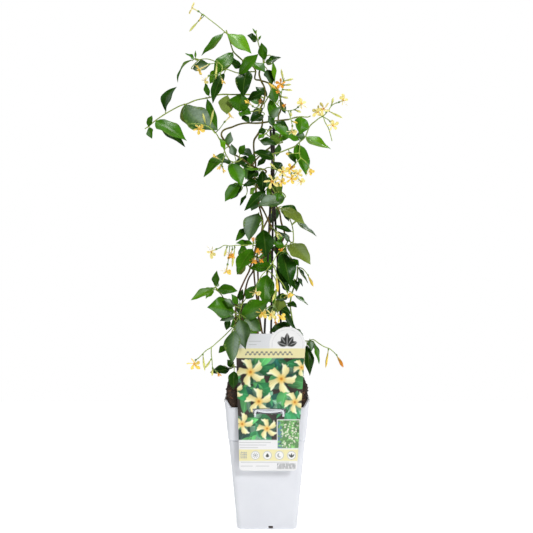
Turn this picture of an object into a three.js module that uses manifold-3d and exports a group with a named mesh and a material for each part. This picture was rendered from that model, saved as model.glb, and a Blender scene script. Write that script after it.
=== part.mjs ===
// Star jasmine climbing a tripod of thin canes, in a square tapered pot with a plastic plant label.
// Millimetres, +Z up, the label faces -Y. The origin is the centre of the pot's base.

import * as THREE from "three";
import { mergeVertices } from "three/addons/utils/BufferGeometryUtils.js";
import Module from "manifold-3d";

const wasm = await Module();
wasm.setup();

// Driving dimensions
const CLEARANCE = 0.35;
const POT_HEIGHT = 178;
const POT_BASE_HALF = 40.5;
const POT_RIM_HALF = 56.5;
const POT_WALL = 1.6;
const POT_CORNER = 7;
const COLLAR_HEIGHT = 124;
const COLLAR_STEP = 0.8;
const FRONT_WALL_DROP = 10;
const DIP_HALF = 50;
const DIP_SLOPE = 5.5;
const NOTCH_WIDTH = 6;
const NOTCH_HEIGHT = 5.5;
const NOTCH_OFFSET = 5;
const SOIL_TOP = 203;
const SOIL_TOP_HALF = 47;
const SOIL_SWELL = 55.2;
const LABEL_BOTTOM = 85;
const LABEL_TOP = 267;
const LABEL_FRONT = -61;
const LABEL_THICKNESS = 0.8;
const LABEL_LEFT = [-41.7, -36.8];
const LABEL_RIGHT = [51.2, 40];
const BADGE_RADIUS = 24;
const BADGE_CENTRE = [27.2, 252];
const SLOT = { left: -19, right: 25, bottom: 160.5, top: 167.5 };
const CANE_DIAMETER = 3;
const TIE_HEIGHT = 548;
const TIE_THICKNESS = 1.6;
const STALK_RADIUS = 0.7;
const STALK_SIDES = 3;
const SUNK = 1.3;
const START_MARGIN = 0.35;
const END_MARGIN = 0.15;
const TUCK = 1.2;
const LAP = 0.6;
const LEAF_THICKNESS = 1.2;
const PETAL_THICKNESS = 1.6;
const PETAL_RISE = 0.12;
const LEAF_STATIONS = [0.3, 0.68];
const LEAF_BOW = 0.09;
const LEAF_FOLD = 0.22;
const SHORT_STALK = 8;
const STRAIGHT_ENOUGH = 0.25;
const PAIR_SIZE = 0.9;
const PAIR_WIDTH = 0.75;
const PAIR_OFFSET = 6;
const PETALS = 5;
const PETAL_OUTLINE = [[0.2, -36], [0.95, -10], [0.86, 16]];
const CURLED_SPAN = 10;

// The plan of the plant is a front elevation in perspective. Each point is [across, up, depth]: where it is
// seen, in the plane through the pot's axis, by an eye at this distance and height, and how far it lies
// behind that plane (in front of it where negative).
const EYE_DISTANCE = 1200;
const EYE_HEIGHT = 356.3;

// Every point of a stem's route. The thickness is a diameter.
const vines = {
"vine_loop": {"thick": 2.5, "route": [[-38,120,-14],[-40,200,-18],[-43,250,-22],[-44,280,-24],[-43,305,-24],
[-38,322,-24],[-30,340,-24],[-25,350,-24],[-20,366,-24],[-12,385,-25],[1,401,-24],[6,412,-18],[3,418,-17],
[-4,433,-15],[-12,447,-2],[-16,460,7],[-12,474,10],[-5,484,5],[-1,489,-5],[-4,492,-11],[-12,493,-13],
[-25,500,-14],[-35,507,-15],[-42,511,-16],[-48,515,-16],[-53,524,-16],[-58,530,-15],[-62,536,-14],
[-64,541,-13],[-62,546,-12],[-57,549,-12],[-50,551,-13],[-40,555,-15],[-30,557,-17],[-12,557,-19],
[10,560,-18],[30,562,-15]]},
"vine_twining": {"thick": 2.5, "route": [[-30,120,10],[-30,198,10],[-32,240,8],[-34,280,2],[-35,303,-8],
[-31,320,-14],[-28,333,-16],[-25,341,-16],[-21,347,-12],[-16,358,6],[-6,368,24],[8,378,28],[20,390,22],
[24.5,402,8],[20,418,-6],[16,436,-16],[4,450,-19],[-8,462,-18],[-18,474,-10],[-22,488,2],[-18,502,14],
[-6,515,20],[8,526,18],[18,538,10],[20,550,-2],[16,560,-10],[16,567,-12],[19,575,-10],[19,590,-6],
[16,601,0],[10,609,6],[0,614,10],[-10,617,6],[-17,619,-3],[-16,630,-6],[-19,636,-9],[-26,641,-8],
[-33,644,-6]]},
"vine_inner": {"thick": 2.6, "route": [[-16,120,0],[-16,198,0],[-14,240,4],[-12,280,6],[-12,320,2],
[-13,352,-4],[-14,368,-12],[-10,390,-12],[-7,408,-12],[-6,420,-12],[-9,433,-11],[-14,455,-4],[-17,480,0],
[-16,500,-6],[-18,515,-10],[-18,533,-10],[-13,541,-10],[-7,553,-12],[-7,565,-12],[-11,572,-11],
[-9,578,-10],[-4,590,-10],[-3,605,-9],[-9,618,-12],[-11,627,-14],[-8,636,-11]]},
"vine_back": {"thick": 2.6, "route": [[8,120,30],[8,200,31],[-6,260,33],[-14,310,33],[-18,345,31],
[-18,372,33],[-10,400,30],[4,430,26],[8,460,24],[6,490,25]]}
};

const canes = {
"cane_left": {"thick": 3, "route": [[-14,25,-24],[9.4,553,-4.7]]},
"cane_right": {"thick": 3, "route": [[33,25,6],[4.6,553,0.2]]},
"cane_back": {"thick": 3, "route": [[2,25,34],[10.2,553,4.4]]}
};

// Leafy shoots. A leaf is [base across, base up, tip across, tip up, width seen from the front, turn in
// degrees that tips its upper face to the sky, depth of the base, depth of the tip, tone, pair, bend]. A
// leaf with pair 1 has its partner on the far side of the stem. The bend is in mm and may be left out.
const shoots = {
"shoot_crown_left": {"thick": 2.0, "routes": [[[-33,644,-6],[-40,650,-4],[-47,657,-2],[-50,665,0],
[-52,672,1],
[-55,681,2],[-57,687,3]]], "leaves": [
[-61,683,-92,651,10,45,2,-6,1,1],[-54,682,-21.5,654,19,30,0,-22,2,1],[-36,636,-57,643,15,35,-10,-20,0,0],
[-48,656,-76,621,20,25,-6,-24,1,1]]},
"shoot_crown_mid": {"thick": 1.8, "routes": [[[-8,636,-11],[-5,641,-8],[-8,655,-6],[-11,665,-5],
[-13,672,-5],
[-15,681,-5],[-15,687,-5]]], "leaves": [
[-14,674,-28,680,10,30,-7,-14,0,1],[-3,645,-8,670,12,30,-10,-16,1,0],[-15,681,-20.5,690,3,20,-6,-8,2,0],
[-12,673,-8,680,3,20,-6,-9,2,0],[-2,642,20,649,10,40,-8,-16,0,1],[6,650,11,611,6,60,-9,-14,2,0],
[0,632,7,610,15,30,-12,-13,0,0],[-19,641,-2,627,14,35,-18,-28,1,0]]},
"shoot_crown_out": {"thick": 1.6, "routes": [[[-16,629,-6],[-24,629,-14],[-32,628,-18],[-40,627,-19],
[-52,631,-19],[-60,634,-18],[-72,643,-15],[-85,647,-12],[-99,645,-10]]], "leaves": [
[-104,633,-79,639,16,30,-12,-18,4,0],[-101,646,-115,655,6,60,-10,-13,1,0],
[-100,648,-100,659,3,20,-10,-11,2,0],
[-103,646,-125,613,4,76,-10,-20,1,0,6],[-39,625,-12,654,17,30,-22,-34,1,0],
[-27,631,-33,593,22,20,-22,-36,0,0,2],
[-68,632,-80,612,13,30,-12,-4,2,0],[-60,627,-76,584,15,25,-22,-36,0,0,2]]},
"runner_left": {"thick": 2.0, "routes": [[[-4,592,-10],[-14,596,-16],[-30,597,-18],[-50,597,-18],
[-66,597,-18],
[-80,593,-18],[-100,589,-16],[-112,584,-14],[-120,582,-13],[-130,577,-12],[-139,572,-11],[-150,565,-10],
[-157,560,-9],[-165,553,-8],[-171,549,-8]]], "leaves": [
[-142,573,-126,608,14,30,-11,-18,0,0,-6],[-81,595,-87,614,8,40,-16,-12,1,0],
[-166,552,-161,568,9,30,-8,-12,1,0],
[-165,551,-161,535,10,30,-9,-14,1,0],[-156,560,-112,532,22,35,-12,-36,1,0],
[-150,557,-114,523,15,30,-2,-12,0,1],
[-115,583,-68,547,32,35,-16,-24,4,1,8],[-115,583,-106,551,14,150,-10,-8,3,0,3],
[-84,591,-69,548,11,30,-14,-10,1,1],
[-55,596,-56,569,19,150,-22,-28,3,0,1.5]]},
"shoot_centre_left": {"thick": 1.6, "routes": [[[-9,576,-11],[-18,574,-18],[-30,572,-21],
[-38,572,-22]]], "leaves": [
[-39,573,-35,600,28,20,-24,-30,1,0],[-38,572,-22,570,14,45,-24,-34,1,0],[-28,588,-2,602,12,30,-24,-30,0,0],
[-35,567,-24,558,9,30,-24,-28,0,0],[-5,568,-23,558,13,30,-24,-30,0,0]]},
"shoot_low_left": {"thick": 1.8, "routes": [[[-35,507,-15],[-42,503,-20],[-50,503,-22],[-57,512,-23],
[-60,520,-23],
[-65,532,-23],[-68,537,-22],[-72,544,-21],[-80,551,-20]]], "leaves": [
[-54,526,-51,545,11,30,-24,-26,4,0],[-59,521,-66,536,7,40,-28,-34,2,0],[-45,511,-50,528,10,30,-23,-28,4,0],
[-38,513,-31,527,10,30,-22,-26,1,0],[-61,515,-89,481,14,35,-24,-40,1,1],[-50,503,-66,502,8,40,-26,-34,0,0],
[-49,501,-35.5,468.5,21,25,-24,-38,1,1]]},
"shoot_tie": {"thick": 1.6, "routes": [[[10,560,-18],[10,555,-24],[4,548,-26],[-4,540,-26]]], "leaves": [
[13,560,31,545,12,35,-23,-28,0,0],[10,556,33,535,14,30,-28,-38,1,0],[5,563,18,580,12,30,-26,-28,4,0],
[4,538,20,531,11,150,-30,-38,2,0],[-10,533,14,526,12,35,-28,-36,0,0],[-4,541,-13,535,7,30,-30,-34,2,0],
[-2,548,-12,542,10,30,-24,-26,0,0],
[9,553,1,568,9,30,-27,-31,0,0]]},
"shoot_loop_right": {"thick": 2.0, "routes": [[[30,562,-15],[40,565,-15],[48,566,-15],[58,565.5,-15],
[61,567,-15]]],
"leaves": [
[49,565,46,541,21,20,-17,-24,1,1]]},
"shoot_right": {"thick": 2.0, "routes": [[[-18,515,-10],[-8,513,-15],[4,513,-18],[12,515,-18],
[18,516,-18],[28,520,-18],
[40,525,-17],[45,530,-16],[53,537,-14],[60,553,-12],[68,560,-11],[73,564,-10],[77,566,-10]]], "leaves": [
[53,538,40,540,12,30,-16,-20,4,0],[55,538,90,520,12,45,-16,-30,2,1],[43,527,55,483,20,25,-22,-38,4,1],
[31,517,41,499,8,30,-20,-28,1,1],[46,533,26,539,9,40,-20,-30,1,0],[9,508,-19,517,15,30,-24,-34,0,0],
[10,503,22,485,13,30,-20,-24,0,0],[-1,509,-14,496,8,30,-20,-25,0,0]]},
"shoot_mid_left": {"thick": 1.6, "routes": [[[-16,495,-13],[-19,489,-19],[-24,483,-21]]], "leaves": [
[-13,491,-28,477,14,30,-20,-26,0,0],[-12,476,-34,468,11,45,-24,-34,4,0],[-8,490,-31,493,4,65,-24,-28,2,0],
[-24,500,-19,514,11,30,-20,-18,1,0],[-6,491,-6,458,14,30,-21,-28,0,0],[-28,497,-39,500,7,30,-20,-24,0,0]]},
"shoot_mid_low_left": {"thick": 1.6, "routes": [[[-18,474,-10],[-24,472,-17],[-32,471,-21],
[-38,471,-23]]], "leaves": [
[-39,473,-59,447,16,35,-25,-36,1,1],[-36,470,-51,450,11,30,-20,-18,0,1],[-29,457,-38,441,5,50,-21,-27,0,0],
[-16,467,-24,457,6,130,-20,-24,2,0]]},
"shoot_mid_right": {"thick": 1.8, "routes": [[[4,450,-19],[8,455,-26],[14,461,-29],[20,461,-30],
[25,456,-30]]], "leaves": [
[-2,463,-32,434,14,30,-28,-42,0,0],[3,452,-15,448,6,55,-30,-38,0,0],[3,469,1,452,7,30,-28,-32,2,0],
[12,475,18,452,13,150,-28,-36,1,0],[16,460,5,438,12,30,-34,-46,1,0],[25,453,-14,441,17,40,-34,-52,4,0]]},
"shoot_lower_left": {"thick": 1.8, "routes": [[[-6,420,-12],[-10,425,-20],[-13,430,-25]]], "leaves": [
[-12,431,-25,391,23,25,-28,-42,4,0,3],[-10,414,-38,404,12,40,-22,-30,0,0],
[-26,411,-44,392,10,40,-25,-31,1,0],
[-5,408,-1,369,24,20,-30,-36,0,0]]},
"shoot_big_leaf": {"thick": 1.8, "routes": [[[24.5,402,8],[31,397,-4],[27,387,-14],
[25,376,-18]]], "leaves": [
[22,375,33,326,24,25,-20,-42,4,1],[24,386,9,388,11,30,-14,-18,1,0],[33,391,14,406,7,55,-12,-20,4,0],
[35,367,45,357,8,30,-20,-24,1,0]]},
"shoot_hook": {"thick": 1.8, "routes": [[[16,436,-16],[22,437,-21],[28,430,-22],[33,420,-22],
[36,410,-22],[37,400,-22],
[37,392,-22],[36,387,-23]]], "leaves": [
[21,438,53,416,15,40,-23,-38,3,1],[22,436,31,419,7,30,-24,-30,0,0],[43,419,70,398,6,60,-26,-32,4,1],
[33,388,61,359,22,35,-25,-42,3,1],[35,405,9,414,7,40,-25,-31,0,0]]},
"shoot_low_mid": {"thick": 1.6, "routes": [[[-12,385,-25],[-16,386,-29],[-20,385,-31]]], "leaves": [
[-20,388,-44,389,9,50,-31,-36,1,0],[-20,381,-42,345,20,25,-32,-44,1,0,1.5]]},
"shoot_label": {"thick": 1.6, "routes": [[[-13,354,-5],[-7,357,-18],[0,355,-25],[2,350,-29],
[0,345,-31]]], "leaves": [
[0,345,-2,300,24,20,-32,-46,1,0,2.5],[9,356,-25,353,14,50,-27,-34,1,0],[13,355,31,321,11,30,-16,-24,0,0]]},
"shoot_base_right": {"thick": 2.4, "routes": [[[30,120,10],[32,200,8],[34,240,0],[36,270,-8],
[36,300,-14],[36,320,-16],
[39,340,-16],[43,356,-16]]], "leaves": [
[43,356,58,332,3,76,-18,-24,0,1],[42,342,50,328,5,60,-18,-22,0,0],[38,338,41,321,11,30,-18,-22,0,0],
[29,314,11,311,10,40,-20,-26,0,0],[19,314,14,291,15,150,-26,-34,3,0],[30,305,42,299,9,40,-20,-30,0,1],
[38,317,58,302,4,72,-18,-28,1,1],[20,297,42,264,8,40,-24,-36,0,0],[33,276,3,264,13,40,-16,-30,0,0],
[41,269,51,259,4,60,-16,-22,4,1],[31,322,19,337,9,30,-20,-28,0,0]]},
"shoot_side_right": {"thick": 1.8, "routes": [[[34,243,-1],[42,250,-10],[50,252,-14],[58,252,-16],
[64,251,-17]]], "leaves": [
[60,254,62,237,9,30,-20,-24,4,0],[56,246,60,203,13,30,-16,-22,0,1],[66,250,73,219,6,60,-18,-26,1,1]]},
"shoot_low_far": {"thick": 1.8, "routes": [[[-43,292,-24],[-50,297,-26],[-55,302,-26],[-61,312,-26],
[-64,317,-26],
[-71,324,-26]]], "leaves": [
[-72,329,-70,351,10,30,-26,-32,1,1],[-74,327,-107,309,10,50,-26,-36,2,1],[-75,323,-86,311,8,40,-28,-34,2,0],
[-69,325,-41,322,13,40,-28,-38,1,0]]},
"shoot_skirt": {"thick": 1.8, "routes": [[[-44,278,-24],[-40,286,-31],[-37,296,-33],
[-35,306,-33]]], "leaves": [
[-46,292,-84,299,26,40,-32,-46,1,1,3],[-38,308,-34,325,8,30,-32,-34,0,0],
[-30,311,-15,330,13,30,-34,-40,1,0],
[-45,301,-61,310,9,40,-34,-42,4,0],[-36,286,2,307,24,30,-38,-54,1,0],[-46,287,-66,280,10,40,-36,-44,4,0],
[-53,282,-57,267,9,30,-27,-29,0,0],[-41,303,-50,318,8,30,-34,-38,1,0],
[-38,282,-30,240,21,20,-52,-72,4,0,-1.5],[-30,282,-12,266,14,30,-46,-64,4,0]]},
"shoot_skirt_low": {"thick": 1.8, "routes": [[[-43,252,-22],[-48,258,-34],[-50,262,-48],
[-49,266,-58]]], "leaves": [
[-46,267,-49,220,21,25,-64,-76,4,0],[-56,246,-68,235,8,40,-36,-40,1,1],
[-50,258,-54,236,12,30,-32,-34,0,1]]},
"shoot_rim": {"thick": 1.8, "routes": [[[-41,215,-19],[-46,216,-26],[-50,214,-34]]], "leaves": [
[-52,213,-80,208,10,50,-35,-46,0,1],[-48,216,-56,226,9,30,-34,-38,1,0],
[-46,210,-47,184,14,25,-64,-68,0,0]]},
"shoot_back_low": {"thick": 2.0, "routes": [[[-9,270,33],[-12,274,38],[-14,276,42]],[[-14,276,42],
[-20,284,45]],
[[-14,276,42],[-6,292,46],[8,304,47]],[[-14,276,42],[-2,258,46],[10,248,46],[20,244,44]]], "leaves": [
[-22,286,-52,272,18,40,46,62,1,0],[-20,288,-46,304,18,40,44,58,0,0],[-16,280,-24,246,18,25,46,66,2,0],
[9,304,-2,330,18,25,48,56,1,0],[10,303,34,290,18,40,48,66,0,0],[6,302,4,284,14,25,50,62,1,0],
[21,246,42,262,14,30,44,56,2,0],[20,242,34,216,15,30,44,60,0,0]]},
"shoot_back_mid_low": {"thick": 2.0, "routes": [[[-18,350,31],[-24,356,40]],[[-24,356,40],[-30,362,43]],
[[-24,356,40],[-14,372,45],[6,384,46]]],
"leaves": [
[-31,363,-42,345,16,30,45,58,3,0],[-28,362,-36,388,16,30,44,54,1,0],
[8,384,30,366,20,30,48,66,0,0],[6,386,24,400,14,40,48,58,1,0],[2,384,-6,352,20,20,50,70,1,0]]},
"shoot_back_mid": {"thick": 2.0, "routes": [[[4,430,26],[10,436,36]],[[10,436,36],[18,440,42]],
[[10,436,36],[2,450,42],[-10,464,40]]],
"leaves": [
[20,440,48,424,16,40,44,60,0,0],[17,438,2,416,14,25,44,58,0,0],[14,442,20,462,14,30,42,52,2,0],
[-8,465,12,482,12,40,42,56,1,0],[-10,462,-22,434,16,25,44,62,0,0],[-6,466,-26,480,13,35,42,52,0,0]]},
"shoot_back_high": {"thick": 2.0, "routes": [[[8,526,18],[14,528,30]],[[14,528,30],[22,530,38]],
[[14,528,30],[0,520,38],[-22,506,38]]],
"leaves": [
[21,531,6,544,12,40,40,54,2,0],[22,532,40,548,14,40,40,50,1,0],[17,528,13,510,9,25,40,52,1,0],
[-24,506,-46,500,14,40,40,54,0,0],[-20,504,-30,478,16,25,40,58,1,0],[-22,508,-36,522,13,35,38,50,0,0]]},
"shoot_back_crown": {"thick": 1.8, "routes": [[[2,613,10],[6,604,20],[2,594,30]],[[2,594,30],[-4,584,34]],
[[2,594,30],[20,578,38]]],
"leaves": [
[-5,578,-24,560,13,30,36,52,0,0],[-4,584,-30,592,13,40,36,50,1,0],[0,594,-16,608,12,30,32,42,0,0],
[18,588,26,570,8,30,40,48,0,0],[7,611,12,584,15,30,22,36,1,0],[4,590,10,560,15,25,38,52,1,0]]}
};

// Flower sprays. A flower is [face across, up, depth, foot of its tube across, up, depth, span, spin, tone].
// A bud is [foot across, up, depth, tip across, up, depth, width, tone].
const sprays = {
"spray_top": {"stalks": [[[-55,681,2],[-65,690,0],[-75,698,-2],[-83,704,-3],[-90,710,-4]]],
"flowers": [[-104.5,718,-6,-95,713,-4,20,10,0]], "buds": [[-95,701,-5,-109,685,-7,4,0],
[-91,709,-5,-95,699,-6,2.5,1]]},
"spray_crown_out": {"stalks": [[[-60,634,-18],[-63,637,-25]],[[-63,637,-25],[-71,645,-25]],
[[-63,637,-25],[-63,631,-34],[-66,625,-38]]],
"flowers": [[-95,632,-30,-80,640,-26,17,20,1],[-87,617,-40,-81,624,-37,14,0,0],
[-61,613,-44,-65,622,-40,9,0,1]],
"buds": [[-70,644,-25,-72,618,-29,4,0]]},
"spray_left": {"stalks": [[[-72,544,-21],[-73,543,-29],[-78,549,-36],[-84,553,-39],[-96,556,-40],
[-107,556,-40]]],
"flowers": [[-95,549,-50,-94,555,-42,18,30,0],[-51,567,-32,-60,558,-28,12,0,1]],
"buds": [[-86,555,-39,-90,571,-40,4,0],[-80,552,-37,-75,576,-38,4,0]]},
"spray_centre": {"stalks": [[[-9,578,-10],[-12,578,-20],[-17,579,-30]]],
"flowers": [[-30,589,-40,-19,580,-33,10,0,1],[-9,588,-38,-12,581,-32,9,0,3]], "buds": []},
"spray_crown_right": {"stalks": [[[19,590,-6],[20,598,-13],[22,608,-15],[24,620,-15]]],
"flowers": [[19,612,-26,22,610,-17,16,0,2],[14,601,-24,19,600,-16,8,0,2]],
"buds": [[20,600,-14,2,613,-22,5,1],[23,614,-16,20,633,-17,4,0],[24,616,-16,37,619,-20,4,0],
[23,610,-16,34,611,-20,3.5,0],
[22,604,-15,36,603,-20,3.5,0],[20,594,-11,30,592,-16,4,0]]},
"spray_tie": {"stalks": [[[19,577,-10],[25,575,-17],[30,574,-20]],[[30,574,-20],[40,576,-24]],
[[30,574,-20],[33,564,-32],[35,556,-42]]],
"flowers": [[48.5,584,-34,43,579,-26,18,15,0],[35,545,-46,35.5,554,-43,17,0,0],
[24,582,-26,23,577,-18,9,0,2]],
"buds": [[33,574,-22,34,566,-24,4,0],[38,576,-24,48,572,-26,4,0],[34,560,-37,43,557,-40,3.5,1]]},
"spray_heart": {"stalks": [[[-5,492,-11],[2,495,-20],[10,493,-28],[16,491,-32],[28,490,-35],[40,486,-36]]],
"flowers": [[22,489,-48,20,491,-35,16,0,0],[33,493,-48,31,491,-37,16,20,0],[43,486,-46,39,487,-37,16,40,0],
[34,479,-50,34,486,-39,17,60,0],[47,475,-42,42,482,-37,15,10,0],[20,475,-50,22,484,-38,15,30,0],
[7,475.5,-46,8,479,-36,24,18,0]], "buds": [[14,492,-32,4,501,-36,4,0]]},
"spray_right_low": {"stalks": [[[45,530,-16],[46,524,-30],[45,515,-40]],[[45,515,-40],[47,508,-44]],
[[47,508,-44],[52,505,-45],[57,499,-46]],[[47,508,-44],[38,499,-47]],[[45,515,-40],[31,514,-38]]],
"flowers": [[60,489,-53,58,496,-48,14,0,1]], "buds": [[33,514,-38,26,514,-39,5,1],
[39,500,-47,33,493.5,-50,3,3]]},
"spray_left_gold": {"stalks": [[[-57,512,-23],[-60,509,-36],[-63,502,-43]]],
"flowers": [[-67,495,-48,-64,499,-44,9,0,2],[-60,489,-48,-63,497,-44,8,0,2],
[-76,512,-46,-66,506,-42,8,0,1]], "buds": []},
"spray_low_left": {"stalks": [[[-12,385,-25],[-17,389,-36],[-22,387,-40],[-34,386,-42],[-43,386,-42],
[-52,385,-42],
[-60,386,-42],[-66,382,-42]]],
"flowers": [[-78,377,-48,-70,381,-44,20,25,0],[-52,372,-50,-48,381,-44,15,0,2],
[-19,395,-48,-19,390,-41,9,0,2],
[-57,350,-53,-55,360,-50,15,0,1]], "buds": [[-56,384,-43,-60,370,-46,4,0],[-45,384,-43,-49,355,-52,4,0]]},
"spray_trunk": {"stalks": [[[-17,375,-24],[-15,374,-34],[-13,371,-40]]],
"flowers": [[-19,364,-46,-16,371,-41,12,0,2],[-11,377,-46,-13,373,-41,12,25,2],
[-8,364,-46,-12,369,-41,9,0,2]], "buds": []},
"spray_big_leaf": {"stalks": [[[27,387,-14],[31,385,-21],[34,384,-25]]],
"flowers": [[18,379,-34,26,384,-24,9,0,2]], "buds": [[33,384.5,-24,44,382,-28,5,0]]},
"spray_node": {"stalks": [[[4.6,411.5,-18.5],[9,409,-25],[11,407,-28]]],
"flowers": [], "buds": [[9,409,-25,17,394,-32,3.5,0],[11,407,-28,21,398,-32,3.5,0]]},
"spray_front_low": {"stalks": [[[25,378,-17],[18,377,-32],[14,373,-42],[8,362,-50],[0,352,-51],
[-8,343,-52],[-14,331,-52]],
[[8,362,-50],[12,350,-52],[16,340,-53],[22,332,-53],[27,323,-53]]],
"flowers": [[-16,320,-57,-15,329,-53,18,0,0],
[30,316,-57,28,322,-54,15,0,1]], "buds": [[13,345,-52,15,320,-54,5,1]]},
"spray_label": {"stalks": [[[2,350,-29],[10,342,-36],[14,330,-44],[12,312,-50],[10,300,-52]]],
"flowers": [[-7,289,-58,-1,298,-54,18,0,0],[6,287,-61,8,297,-55,18,20,0],[18,283,-58,14,294,-54,18,40,0],
[12,276,-62,11,285,-57,8,0,3]], "buds": [[13,324,-46,7,307,-50,4,0]]},
"spray_hang_left": {"stalks": [[[-44,276,-24],[-50,269,-34],[-55,264,-42],[-60,259,-44],[-70,250,-46],
[-78,243,-47],
[-85,239,-48],[-91,233,-48],[-97,227,-49]],[[-78,243,-47],[-78,233,-48],[-77,225,-48],[-76,215,-48],
[-73,211,-48]]],
"flowers": [[-103,219,-52,-99.5,226,-50,22,10,0],[-67,204,-52,-71,210,-49,9,0,2]],
"buds": [[-90,234,-48,-87,210,-50,4,0],[-78,227,-48,-86,214,-50,4,0],[-76,215,-48,-77,203,-50,4,0]]},
"spray_hang_right": {"stalks": [[[58,252,-16],[65,254,-24],[72,249,-27],[80,244,-28],[88,241,-29],
[97,233,-30]]],
"flowers": [], "buds": [[97,233,-30,107,215,-33,6,2],[86,241,-29,82,214,-31,4,1]]},
"spray_right": {"stalks": [[[73,564,-10],[80,568,-14],[86,575,-16],[91,582,-17],[98,586,-18]],
[[78,566,-13],[84,563,-16],
[87,561,-18]],[[79,567,-14],[81,559,-19],[86,550,-20],[89,540,-20],[91,532,-20]]],
"flowers": [[71,573,-24,76,568,-15,17,0,0],[79,577,-30,83,572,-18,19,30,0],[108,588,-20,100,586,-18,17,0,0],
[92,554,-28,88,560,-19,16,20,0]], "buds": [[90,581,-17,93,593,-19,4,0],[86,574,-16,106,564,-20,4,0]]},
"spray_low_right": {"stalks": [[[43,355,-16],[50,353,-28],[57,345,-32]]],
"flowers": [], "buds": [[57,345,-32,65,328,-34,5,1]]}
};

const COLOURS = {
  pot: 0xe6e8ee, soil: 0x2b1a12, label: 0xdfe6c8, cane: 0x241c18, tie: 0x141414, vine: 0x5b4a2c,
};

// Colours by tone. Leaves: dark, middle, bright, olive, grey green.
// Flowers: cream, yellow, orange, withered.
const LEAF_TONES = [0x1f4a17, 0x2f6b22, 0x5a9a35, 0x7d8f4a, 0x8fa58c];
const FLOWER_TONES = [0xf4e9a6, 0xf3d46a, 0xe39a35, 0xa8672a];

function finish(colour, roughness) {
  return new THREE.MeshStandardMaterial({ color: colour, roughness, metalness: 0 });
}

// A node's colour is the mean of its leaves' or flowers' tones.
function meanColour(palette, tones) {
  const mean = new THREE.Color(0);
  for (const tone of tones) {
    mean.add(new THREE.Color(palette[tone]).multiplyScalar(1 / tones.length));
  }
  return mean;
}

// Carries a plan point to its real place, along the line of sight.
function sighted([across, up, depth]) {
  const reach = 1 + depth / EYE_DISTANCE;
  return new THREE.Vector3(across * reach, depth, EYE_HEIGHT + (up - EYE_HEIGHT) * reach);
}

function toSolid(geometry) {
  const bare = new THREE.BufferGeometry();
  bare.setAttribute("position", geometry.getAttribute("position"));
  if (geometry.index) {
    bare.setIndex(geometry.index);
  }
  const merged = mergeVertices(bare, 1e-4);
  return new wasm.Manifold(new wasm.Mesh({
    numProp: 3,
    vertProperties: Float32Array.from(merged.attributes.position.array),
    triVerts: Uint32Array.from(merged.index.array),
  }));
}

function toGeometry(solid) {
  const mesh = solid.getMesh();
  const geometry = new THREE.BufferGeometry();
  geometry.setAttribute("position", new THREE.BufferAttribute(Float32Array.from(mesh.vertProperties), 3));
  geometry.setIndex(new THREE.BufferAttribute(Uint32Array.from(mesh.triVerts), 1));
  return geometry;
}

// The largest body of a solid. A scrap that a cut has left loose is dropped.
function largest(solid) {
  const bodies = solid.decompose();
  bodies.sort((one, other) => other.volume() - one.volume());
  return bodies[0];
}

function regularSection(radius, sides) {
  const corners = [];
  for (let i = 0; i < sides; i += 1) {
    const angle = (i / sides) * 2 * Math.PI;
    corners.push(new THREE.Vector2(radius * Math.cos(angle), radius * Math.sin(angle)));
  }
  return new THREE.Shape(corners);
}

function smoothCurve(points) {
  return new THREE.CatmullRomCurve3(points, false, "centripetal");
}

// A round bar along a smooth curve through the points.
function tube(points, radius, sides, steps) {
  const options = { steps, bevelEnabled: false, extrudePath: smoothCurve(points) };
  return toSolid(new THREE.ExtrudeGeometry(regularSection(radius, sides), options));
}

function rod(from, to, radius) {
  return tube([from, to], radius, STALK_SIDES, 1);
}

function routeSteps(route) {
  return route.length - 1;
}

// A stem's points, started a little further back so that it is sunk in what it grows from.
function stemPoints(route) {
  const points = route.map(sighted);
  const back = points[0].clone().sub(points[1]).setLength(SUNK);
  return [points[0].clone().add(back), ...points.slice(1)];
}

// The point of a set of stems, as they are stepped, that lies nearest to a place, kept inside their ends.
function nearestOn(routes, place) {
  let best = null;
  for (const route of routes) {
    const points = smoothCurve(stemPoints(route)).getSpacedPoints(routeSteps(route));
    const last = points.length - 1;
    points[0] = points[0].clone().lerp(points[1], START_MARGIN);
    points[last] = points[last].clone().lerp(points[last - 1], END_MARGIN);
    for (let i = 0; i + 1 < points.length; i += 1) {
      const line = new THREE.Line3(points[i], points[i + 1]);
      const near = line.closestPointToPoint(place, true, new THREE.Vector3());
      if (!best || near.distanceTo(place) < best.distanceTo(place)) {
        best = near;
      }
    }
  }
  return best;
}

function closedSkin(points, faces) {
  const geometry = new THREE.BufferGeometry().setFromPoints(points);
  geometry.setIndex(faces);
  return toSolid(geometry);
}

// A closed solid from rings of points, each joined to the next, with its ends closed on a middle point.
function loft(rings, firstMiddle, lastMiddle) {
  const count = rings[0].length;
  const points = rings.flat();
  const faces = [];
  for (let r = 0; r + 1 < rings.length; r += 1) {
    for (let i = 0; i < count; i += 1) {
      const a = r * count + i;
      const b = r * count + ((i + 1) % count);
      faces.push(a, b, b + count, a, b + count, a + count);
    }
  }
  const low = points.push(firstMiddle) - 1;
  const high = points.push(lastMiddle) - 1;
  const last = (rings.length - 1) * count;
  for (let i = 0; i < count; i += 1) {
    faces.push(low, (i + 1) % count, i);
    faces.push(high, last + i, last + ((i + 1) % count));
  }
  return closedSkin(points, faces);
}

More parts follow.
